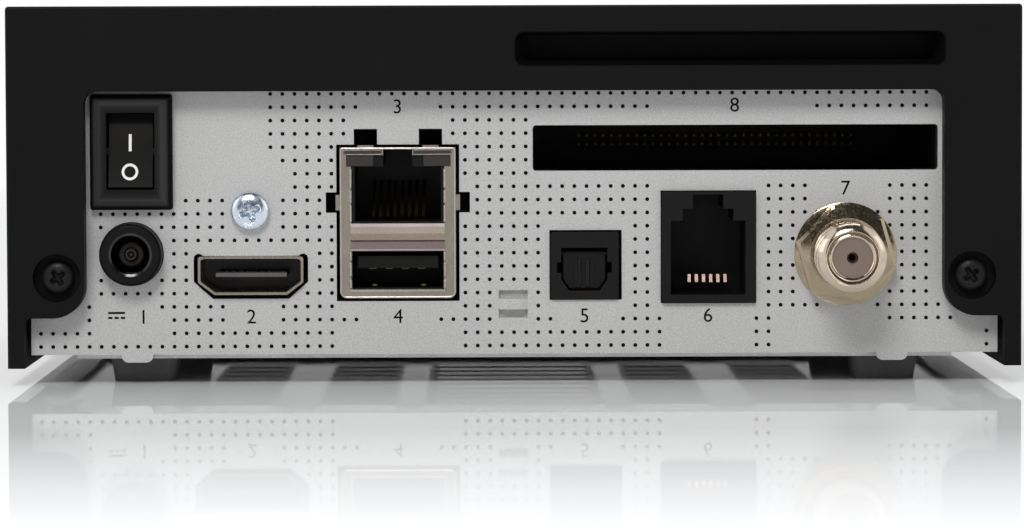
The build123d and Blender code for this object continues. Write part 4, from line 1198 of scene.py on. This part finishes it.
@dataclass
class CrossScrew(SubAssembly):
    """Pan-head screw along Y with a tapered cross recess."""

    name: str
    node: str
    places: tuple[tuple[float, float], ...]
    face_y: float
    head_radius: float
    head_height: float
    length: float
    slot: Slot
    turn: float = 0.0
    shank: float = 1.45
    arm_reach: float = 0.58         # this and the next three are shares of the head's radius
    arm_half: float = 0.12
    arm_soft: float = 0.05
    arm_slope: float = 0.261
    recess_share: float = 0.62      # of the head's height
    sectors: int = 96

    def trough(self, side: np.ndarray, along: np.ndarray) -> np.ndarray:
        """One arm of the cross, from 0 outside it to 1 at the bottom.

        Args:
            side: distance from the arm's middle line.
            along: distance from the screw's axis along the arm.

        Returns:
            Share of the full depth.
        """
        side, along = side / self.head_radius, along / self.head_radius
        wall = np.clip((self.arm_half + self.arm_soft - side) / (2 * self.arm_soft), 0, 1)
        return wall * np.clip((self.arm_reach - along) / self.arm_slope, 0, 1)

    def recess(self, x: np.ndarray, z: np.ndarray) -> np.ndarray:
        """Depth of the recess: two crossed troughs whose floors rise towards their ends.

        Args:
            x: X from the screw's axis.
            z: Z from the screw's axis.

        Returns:
            The depth at each point.
        """
        turn = math.radians(self.turn)
        u = np.abs(x * math.cos(turn) + z * math.sin(turn))
        v = np.abs(z * math.cos(turn) - x * math.sin(turn))
        return self.head_height * self.recess_share * np.maximum(self.trough(u, v), self.trough(v, u))

    def shape(self, x: float, z: float) -> Shape:
        """Head, neck and shank as one turned profile, with the recess pressed into the dome.

        The dome stands out by h (0.45 + 0.55 sqrt(1 - (r / R)^2.6)).

        Args:
            x: where the screw stands along X.
            z: where it stands along Z.

        Returns:
            The closed screw.
        """
        dome_r = np.linspace(0.02, 1.0, 26) ** 0.9 * self.head_radius
        arch = np.sqrt(np.clip(1 - (dome_r / self.head_radius) ** 2.6, 0, 1))
        angle = full_turn(self.sectors)
        r = spread(dome_r, self.sectors)
        dome = self.face_y - spread(self.head_height * (0.45 + 0.55 * arch), self.sectors)
        dome += self.recess(r * np.cos(angle), r * np.sin(angle))
        tail_r = np.array([self.head_radius * 0.99, self.shank, self.shank, self.shank * 0.7])
        tail_y = self.face_y + np.array([0.0, 0.0, self.length - 0.4, self.length])
        radius = np.vstack([r, spread(tail_r, self.sectors)])
        return turned(radius, np.vstack([dome, spread(tail_y, self.sectors)]), x, z, self.sectors)

    def build(self) -> None:
        """Make the screws and let them stand for their node."""
        screws = joined([self.shape(*place) for place in self.places])
        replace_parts(piece(self.name, screws, self.paints.slot(self.slot)), self.node)


@dataclass
class SlotLiner(SubAssembly):
    """Sloping walls inside the long vent slot of the cover."""

    outer: tuple[Span, Span, Span] = ((0.12, 60.68), (45.02, 49.68), (1.28, 1.28))     # X, Z and corner radii
    inner: tuple[Span, Span, Span] = ((1.2, 59.5), (45.75, 49.3), (0.9, 0.9))
    ys: Span = (-49.33, -46.5)
    wall: float = 0.3

    def build(self) -> None:
        """Rings of points from the outer front edge in to the inner back edge, and back along the outside."""
        wide, narrow = rounded_outline(*self.outer), rounded_outline(*self.inner)
        front, back = self.ys
        rings = [(wide, front), (narrow, back), (narrow, back + self.wall), (wide, back + self.wall)]
        points = [np.stack([ring[:, 0], np.full(len(ring), y), ring[:, 1]], axis=-1) for ring, y in rings]
        faces = grid_faces(len(rings), len(wide), True, True).tolist()
        dark = self.paints.get("slot_black", SLOT_BLACK)
        piece("vent_slot_liner", Shape(np.concatenate(points), faces), dark)


@dataclass
class StackTrim(SubAssembly):
    """Rolled edges, flaps, lamp hoods and the fold between the two mouths of the stacked jacks."""

    face: float = -46.4
    outer: tuple[Span, Span, Span] = ((-24.56, -8.44), (12.29, 33.36), (0.3, 0.8))     # X, Z and corner radii
    mouth_xs: Span = (-23.2, -9.85)
    flap: float = 0.42
    flap_zs: tuple[Span, ...] = ((27.75, 30.5), (25.6, 27.45), (22.9, 25.3), (17.5, 18.75), (15.2, 17.15),
                                 (13.5, 14.75))
    hood_xs: tuple[Span, Span] = ((-24.1, -18.75), (-14.3, -8.9))
    hood_zs: Span = (32.5, 33.25)
    hood_rim_zs: Span = (32.5, 33.12)
    spring_xs: Span = (-19.8, -12.9)
    spring_zs: Span = (13.85, 14.15)
    fold: Stops = (                     # Z and height: rolled top, flat, slope, crease, slope, rolled foot
        (22.74, -0.25), (22.73, 0.0), (22.66, 0.12), (22.52, 0.19), (22.34, 0.2), (22.2, 0.13), (22.1, 0.12),
        (21.5, 0.12), (21.3, 0.16), (21.1, 0.17), (20.5, 0.27), (20.38, 0.24), (20.28, 0.1), (20.2, 0.06),
        (20.1, 0.08), (19.3, 0.22), (19.1, 0.25), (18.96, 0.2), (18.86, 0.08), (18.84, -0.25))
    lip: Stops = ((13.46, -0.25), (13.45, 0.02), (13.36, 0.14), (13.2, 0.16), (13.05, 0.08), (13.0, -0.05))

    def build(self) -> None:
        """Make the trim: edges in tin with a painted highlight, grey hoods over the lamps and the fold in bands
        of painted reflection, with painted shade in its crease.
        """
        face = self.face
        bright = self.paints.get("bright_tin", TIN_PAINTED_HIGHLIGHT)
        piece("shield_edge", bead(rounded_outline(*self.outer), face, 0.15), bright)
        piece("mouth_flaps", self.flaps(), bright)
        hoods = [pad(xs, self.hood_zs, face, 0.15, 0.2) for xs in self.hood_xs]
        piece("lamp_hoods", joined(hoods), self.paints.get("hood_grey", HOOD_GREY))
        rims = [rounded_outline(xs, self.hood_rim_zs, (0.3, 0.3)) for xs in self.hood_xs]
        edges = joined([bead(rim, face - 0.08, 0.09) for rim in rims])
        piece("hood_edges", edges, self.paints.get("hood_pale", HOOD_PALE))
        # The fold is drawn as strips of painted reflection, with painted shade in the crease.
        fold = np.array(self.fold)
        for name, finish, rows in (("top", FOLD_PAINTED_REFLECTION_PALE, fold[:6]), ("cream", FOLD_PAINTED_REFLECTION_CREAM, fold[5:9]),
                                   ("tan", FOLD_PAINTED_REFLECTION_TAN, fold[8:12]), ("crease", TIN_PAINTED_CREASE_SHADE, fold[11:15]),
                                   ("lilac", FOLD_PAINTED_REFLECTION_LILAC, fold[14:17]), ("foot", FOLD_PAINTED_REFLECTION_PALE, fold[16:])):
            material = self.paints.get("fold_" + name, finish)
            piece("divider_fold_painted_reflection_" + name, strip(rows, self.mouth_xs, face), material)
        piece("data_lip", strip(np.array(self.lip), self.mouth_xs, face), bright)
        # The springs wear gold darkened as painted shade.
        springs = [pad((x - 0.35, x + 0.35), self.spring_zs, face + 0.3, 0.1, 0.12) for x in self.spring_xs]
        piece("data_springs", joined(springs), self.paints.get("gold_painted_shade", GOLD_PAINTED_SHADE))

    def flaps(self) -> Shape:
        """Upright flaps beside both mouths, with a space between one and the next.

        Returns:
            All the flaps.
        """
        left, right = self.mouth_xs[0] - 0.2, self.mouth_xs[1] + 0.2
        sides = ((left, left + self.flap), (right - self.flap, right))
        return joined([pad(xs, zs, self.face, 0.2, 0.2) for xs in sides for zs in self.flap_zs])


@dataclass
class SkirtEdges(SubAssembly):
    """Smooth turned-in edges along the foot of the cover's side walls, painted pale grey as painted light that
    the floor mirrors.
    """

    bars: tuple[tuple[Span, Span], ...] = (((69.2, 71.3), (-45.8, 44.0)), ((65.9, 69.3), (-18.0, 44.0)))
    zs: Span = (2.42, 2.9)

    def build(self) -> None:
        """One narrow bar along each wall and a wider one further in, at both sides."""
        shapes = [slab(tuple(sorted((side * near, side * far))), ys, self.zs)
                  for (near, far), ys in self.bars for side in (-1, 1)]
        piece("skirt_edges", joined(shapes), self.paints.get("skirt_pale", SKIRT_PAINTED_LIGHT))


@dataclass
class ShutterRibs(SubAssembly):
    """Two low ribs between the shutter's own ribs, paler than the shutter as a painted highlight of light
    bands.
    """

    spans: tuple[Span, Span] = ((8.98, 9.42), (10.05, 10.7))
    zs: Span = (13.5, 17.7)
    face: float = -45.36

    def build(self) -> None:
        """The ribs swing with the shutter."""
        ribs = joined([pad(xs, self.zs, self.face, 0.22, 0.15) for xs in self.spans])
        piece("shutter_ribs", ribs, self.paints.get("rib_grey", RIB_PAINTED_HIGHLIGHT), Body.SHUTTER)


@dataclass
class InletTrim(SubAssembly):
    """Small rings of the power inlet, each turned from an outline of radius and Y."""

    lip: Stops = ((3.08, -48.3), (3.08, -48.85), (2.74, -48.7), (2.74, -48.3))
    rim: Stops = ((4.39, -48.2), (4.39, -48.8), (4.34, -48.98), (4.2, -49.09), (4.12, -49.09), (4.12, -48.2))
    collar: Stops = ((1.75, -38.2), (1.75, -46.6), (1.55, -46.8), (1.04, -46.8), (1.04, -38.2))
    dimple: Stops = ((0.55, -47.45), (0.55, -47.515), (0.2, -47.515), (0.2, -47.45))

    def build(self) -> None:
        """Sloping inner lip, a black rim of painted shadow round the nose, the collar round the pin and a black
        disc of painted shade at the end of the pin.
        """
        sleek = self.paints.get("inlet_sleek", INLET_SLEEK)
        # Here the black ink is painted shade: the dark rim and the dark end of the pin.
        ink = self.paints.get("ink_black", BLACK_INK)
        grey = self.paints.get("collar_grey", COLLAR_GREY)
        for name, outline, material in (("inlet_lip", self.lip, sleek), ("inlet_rim_painted_shade", self.rim, ink),
                                        ("pin_collar", self.collar, grey), ("pin_dimple_painted_shade", self.dimple, ink)):
            radius, along = np.array(outline).T
            piece(name, turned(radius, along, SWITCH_X, INLET_Z, closed=True), material)


@dataclass
class AntennaNut(SubAssembly):
    """Hexagon nut with a shallow cone for a face, over a slightly coned washer."""

    flats: float = 12.7             # distance across the flats
    turn: float = -14.0             # degrees
    bore: float = 4.52
    nut_ys: Span = (-49.2, -46.6)
    washer_radius: float = 7.3
    washer_ys: Span = (-46.6, -46.0)

    def build(self) -> None:
        """Make the nut, whose rim is half the flats over cos(a), and the washer, for their nodes."""
        olive = self.paints.get("olive_brass", OLIVE_BRASS)
        angle = full_turn(144)
        sector = (angle - math.radians(self.turn)) % (math.pi / 3) - math.pi / 6
        nut = self.coned(self.flats / 2 / np.cos(sector), self.nut_ys, crest=5.2, slope=0.2, bevel=0.5)
        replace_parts(piece("antenna_hexagon", nut, olive, smooth=11.0), "antenna_nut")
        washer_rim = np.full_like(angle, self.washer_radius)
        washer = self.coned(washer_rim, self.washer_ys, crest=4.7, slope=0.14, bevel=0.08)
        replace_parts(piece("antenna_ring", washer, olive, smooth=22.0), "antenna_washer")

    def coned(self, rim: np.ndarray, ys: Span, crest: float, slope: float, bevel: float) -> Shape:
        """Closed ring whose face falls by slope (r - crest) outside the crest.

        Args:
            rim: outer radius at each angle.
            ys: front and back along Y.
            crest: radius at which the face starts to fall.
            slope: how much it falls for each millimetre outwards.
            bevel: size of the soft outer edge.

        Returns:
            The closed shape.
        """
        share = np.array([0.0, 0.35, 0.7, 1.0])[:, None]
        face_r = crest + share * (rim - bevel - crest)
        face_y = ys[0] + slope * (face_r - crest)
        edge_y = face_y[-1:] + bevel / 2
        full, bore = rim[None, :], np.full((1, len(rim)), self.bore)
        radius = np.vstack([bore, bore, bore + 0.25, face_r, full, full, bore])
        back, front = np.full_like(bore, ys[1]), np.full_like(bore, ys[0])
        along = np.vstack([back - 0.02, front + 0.25, front, face_y, edge_y, back, back])
        return turned(radius, along, ANTENNA_X, ANTENNA_Z, len(rim), closed=True)


@dataclass
class AntennaBarrel(SubAssembly):
    """Screwed barrel of the antenna connector."""

    tip: float = -58.5
    nut: float = -49.2
    end: float = -43.7
    radius: float = 4.76
    neck: float = 4.5
    bore: float = 2.8
    pitch: float = 0.794
    groove: float = 0.42
    run_in: float = 0.6             # the groove grows deep over this length from the tip
    run_out: float = 0.5            # and shallow over this length before the nut
    sectors: int = 96
    mouth: Stops = (                    # radius and distance from the tip: bore, step, crest and chamfer
        (2.8, 2.0), (2.8, 0.5), (2.86, 0.34), (2.98, 0.24), (3.12, 0.22), (3.28, 0.28), (3.38, 0.42),
        (3.44, 0.5), (3.52, 0.3), (3.6, 0.08), (3.72, 0.0), (3.86, 0.03), (4.5, 0.45))

    def build(self) -> None:
        """Thread, chamfer, stepped mouth, bore and back face as one closed profile.

        The outer radius falls by a triangle wave of y / pitch - angle / 2 pi, which winds
        the groove round the barrel, and fades near the tip and the nut.
        """
        angle = full_turn(self.sectors)
        outer_y = np.linspace(self.tip + 0.75, self.nut - 0.1, 84)
        phase = (outer_y[:, None] / self.pitch - angle / (2 * math.pi)) % 1.0
        wave = 1 - np.abs(2 * phase - 1)
        fade = np.clip((outer_y - outer_y[0]) / self.run_in, 0, 1)
        fade *= np.clip((outer_y[-1] - outer_y) / self.run_out, 0, 1)
        outer_r = np.maximum(self.radius - self.groove * wave * fade[:, None], self.neck - 0.05)
        mouth_r, mouth_y = np.array(self.mouth).T
        back_r = np.array([self.neck, self.neck, self.bore, self.bore])
        back_y = np.array([self.nut, self.end, self.end, self.tip + 8.0])
        radius = np.vstack([spread(mouth_r, self.sectors), outer_r, spread(back_r, self.sectors)])
        along = np.concatenate([self.tip + mouth_y, outer_y, back_y])
        shape = turned(radius, along, ANTENNA_X, ANTENNA_Z, self.sectors, closed=True)
        made = piece("antenna_thread", shape, self.paints.slot(Slot.NICKEL), smooth=28.0)
        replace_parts(made, "antenna_barrel")


@dataclass
class Studio:
    """Floor, lights, world and camera."""

    distance: float = 600.0                         # of the camera from the cover's rear edge, in millimetres
    eye: tuple[float, float] = (-4.62, 47.61)       # X and Z of the camera, in millimetres
    yaw: float = -0.404                             # this and the next two are in degrees
    pitch: float = 2.912
    roll: float = -0.175
    focal_pixels: float = 4264.7
    frame_width: int = 1024
    soft_light: float = 0.42                        # strength of the world on the object
    table_white: float = 0.88
    table_half: float = 4.0                         # in metres, as all lengths that follow
    gloss_ramps: tuple[tuple[float, float, float, float], ...] = (      # from, to, starting Y and ending Y
        (0.05, 0.87, -0.235, -0.119), (0.0, 1.0, 0.35, 0.08))
    white_from: Span = (0.32, 0.9)                  # the table turns white between these distances
    card_half: float = 1.05
    card_rows: Stops = ((-1.5, 0.06), (-0.9, 2.0), (0.5, 2.4))          # Y and Z of the card's folds
    lamps: tuple[tuple[str, tuple[float, float, float], float, float], ...] = (    # place, size and power
        ("key", (-0.18, -0.95, 0.85), 0.42, 8.6), ("left", (-1.1, -0.35, 0.5), 0.6, 1.2),
        ("right", (1.1, -0.35, 0.5), 0.6, 0.8), ("overhead", (0.0, 0.35, 1.3), 1.0, 7.0))

    def build(self) -> None:
        """Set up everything that isn't part of the object."""
        self.camera()
        self.world()
        for lamp in self.lamps:
            self.lamp(*lamp)
        self.dark_card()
        self.floor()
        bpy.context.scene.view_settings.view_transform = "Standard"

    def camera(self) -> None:
        """Camera in front of the sockets, from turns about Z, then X, then its own line of sight."""
        yaw, pitch, roll = (math.radians(angle) for angle in (self.yaw, self.pitch, self.roll))
        level = Vector((-math.sin(yaw), math.cos(yaw), 0.0))
        right = Vector((math.cos(yaw), math.sin(yaw), 0.0))
        forward = level * math.cos(pitch) - Vector((0, 0, 1)) * math.sin(pitch)
        up = level * math.sin(pitch) + Vector((0, 0, 1)) * math.cos(pitch)
        across = right * math.cos(roll) + up * math.sin(roll)
        above = up * math.cos(roll) - right * math.sin(roll)
        data = bpy.data.cameras.new("camera")
        data.sensor_width = 36.0
        data.sensor_fit = "HORIZONTAL"
        data.lens = self.focal_pixels * data.sensor_width / self.frame_width
        data.clip_start, data.clip_end = 0.01, 20.0
        camera = put_in_scene("camera", data)
        place = Vector((self.eye[0], COVER_FACE - self.distance, self.eye[1])) * MM
        turn = Matrix((across, above, -forward)).transposed()
        camera.matrix_world = Matrix.Translation(place) @ turn.to_4x4()
        bpy.context.scene.camera = camera

    def world(self) -> None:
        """Soft grey light; the camera and mirror rays see white."""
        world = bpy.data.worlds.new("studio")
        bpy.context.scene.world = world
        tree = Tree(world, "ShaderNodeOutputWorld")
        soft, white = tree.add("ShaderNodeBackground"), tree.add("ShaderNodeBackground")
        tree.set(soft, Color=(0.95, 0.97, 1.0, 1.0), Strength=self.soft_light)
        tree.set(white, Color=(1.0, 1.0, 1.0, 1.0), Strength=1.0)
        tree.join(tree.mix_shaders(tree.seen_directly(), soft.outputs[0], white.outputs[0]), tree.surface)

    def lamp(self, name: str, place: tuple[float, float, float], size: float, power: float) -> None:
        """Square area lamp turned towards the object.

        Args:
            name: name of the lamp.
            place: where it stands, in metres.
            size: length of its sides, in metres.
            power: its power, in watts.
        """
        data = bpy.data.lights.new(name, "AREA")
        data.shape, data.size, data.energy = "SQUARE", size, power
        lamp = put_in_scene(name, data)
        lamp.location = place
        lamp.rotation_euler = (Vector((0, 0, 0.02)) - Vector(place)).to_track_quat("-Z", "Y").to_euler()

    def sheet(self, name: str, corners: list[tuple[float, float, float]], faces: list[tuple[int, ...]],
              material: bpy.types.Material) -> bpy.types.Object:
        """Flat piece of the studio.

        Args:
            name: name of the piece.
            corners: its corners, in metres.
            faces: numbers of the corners of each face.
            material: what it is dressed in.

        Returns:
            The new object.
        """
        mesh = bpy.data.meshes.new(name)
        mesh.from_pydata(corners, [], faces)
        mesh.materials.append(material)
        return put_in_scene(name, mesh)

    def dark_card(self) -> None:
        """Dark board behind the camera, which only gloss can see, so that metal has something to mirror."""
        bench = Bench("dark_card")
        bench.fix(Base_Color=(0.03, 0.03, 0.03, 1.0))
        corners = [(side * self.card_half, y, z) for y, z in self.card_rows for side in (-1, 1)]
        card = self.sheet("dark_card", corners, [(0, 1, 3, 2), (2, 3, 5, 4)], bench.material)
        card.visible_camera = card.visible_diffuse = card.visible_shadow = False
        card.visible_transmission = card.visible_volume_scatter = False

    def floor(self) -> None:
        """White table top that mirrors the object, and fades to plain white far from it."""
        material = bpy.data.materials.new("floor")
        tree = Tree(material, "ShaderNodeOutputMaterial")
        matt, mirror = tree.add("ShaderNodeBsdfDiffuse"), tree.add("ShaderNodeBsdfGlossy")
        glow = tree.add("ShaderNodeEmission")
        tree.set(matt, Color=(self.table_white, self.table_white, self.table_white, 1.0))
        tree.set(mirror, Roughness=0.02)
        tree.set(glow, Color=(1.0, 1.0, 1.0, 1.0))
        near = tree.mix_shaders(self.polish(tree), matt.outputs[0], mirror.outputs[0])
        tree.join(tree.mix_shaders(self.distant(tree), near, glow.outputs[0]), tree.surface)
        half = self.table_half
        corners = [(-half, -half, 0), (half, -half, 0), (half, half, 0), (-half, half, 0)]
        floor = self.sheet("floor", corners, [(0, 1, 2, 3)], material)

    def distant(self, tree: Tree) -> Socket:
        """Share of plain white, for eyes and mirrors only: it grows with the distance from the object.

        Args:
            tree: the floor's node tree.

        Returns:
            The share, from 0 to 1.
        """
        length = tree.add("ShaderNodeVectorMath", operation="LENGTH")
        tree.join(tree.place(), length.inputs[0])
        return tree.math("MULTIPLY", tree.span(length.outputs["Value"], 0.0, 1.0, *self.white_from),
                         tree.seen_directly())

    def polish(self, tree: Tree) -> Socket:
        """Share of mirrored light: Fresnel times ramps along Y, high only by the object's sockets.

        Args:
            tree: the floor's node tree.

        Returns:
            The share, from 0 to 1.
        """
        fresnel = tree.add("ShaderNodeFresnel")
        tree.set(fresnel, IOR=1.5)
        along, share = tree.axes()["Y"], fresnel.outputs[0]
        for ramp in self.gloss_ramps:
            share = tree.math("MULTIPLY", tree.span(along, *ramp), share)
        return share


def main() -> None:
    """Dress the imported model, add the new pieces and set up the studio."""
    logging.basicConfig(level=logging.INFO, format="%(name)s: %(message)s")
    paints = Paintbox()
    zinc_screw = CrossScrew(paints, "zinc_panel_screw", "panel_screw", ((-37.4, 24.55),), PANEL_FACE,
                            head_radius=2.75, head_height=1.8, length=7.0, slot=Slot.ZINC_SCREW, turn=20.0)
    black_screws = CrossScrew(paints, "black_cover_screws", "cover_screws", ((-64.5, 15.3), (64.5, 15.3)),
                              COVER_FACE + 2.3, head_radius=2.3, head_height=1.5, length=9.0,
                              slot=Slot.BLACK_SCREW, turn=35.0)
    for assembly in (Dresser(paints), PanelPrint(paints), RockerMarks(paints), zinc_screw, black_screws,
                     AntennaBarrel(paints), AntennaNut(paints), StackTrim(paints), SlotLiner(paints),
                     InletTrim(paints), SkirtEdges(paints), ShutterRibs(paints), Studio()):
        assembly.build()


if __name__ == "__main__":
    main()
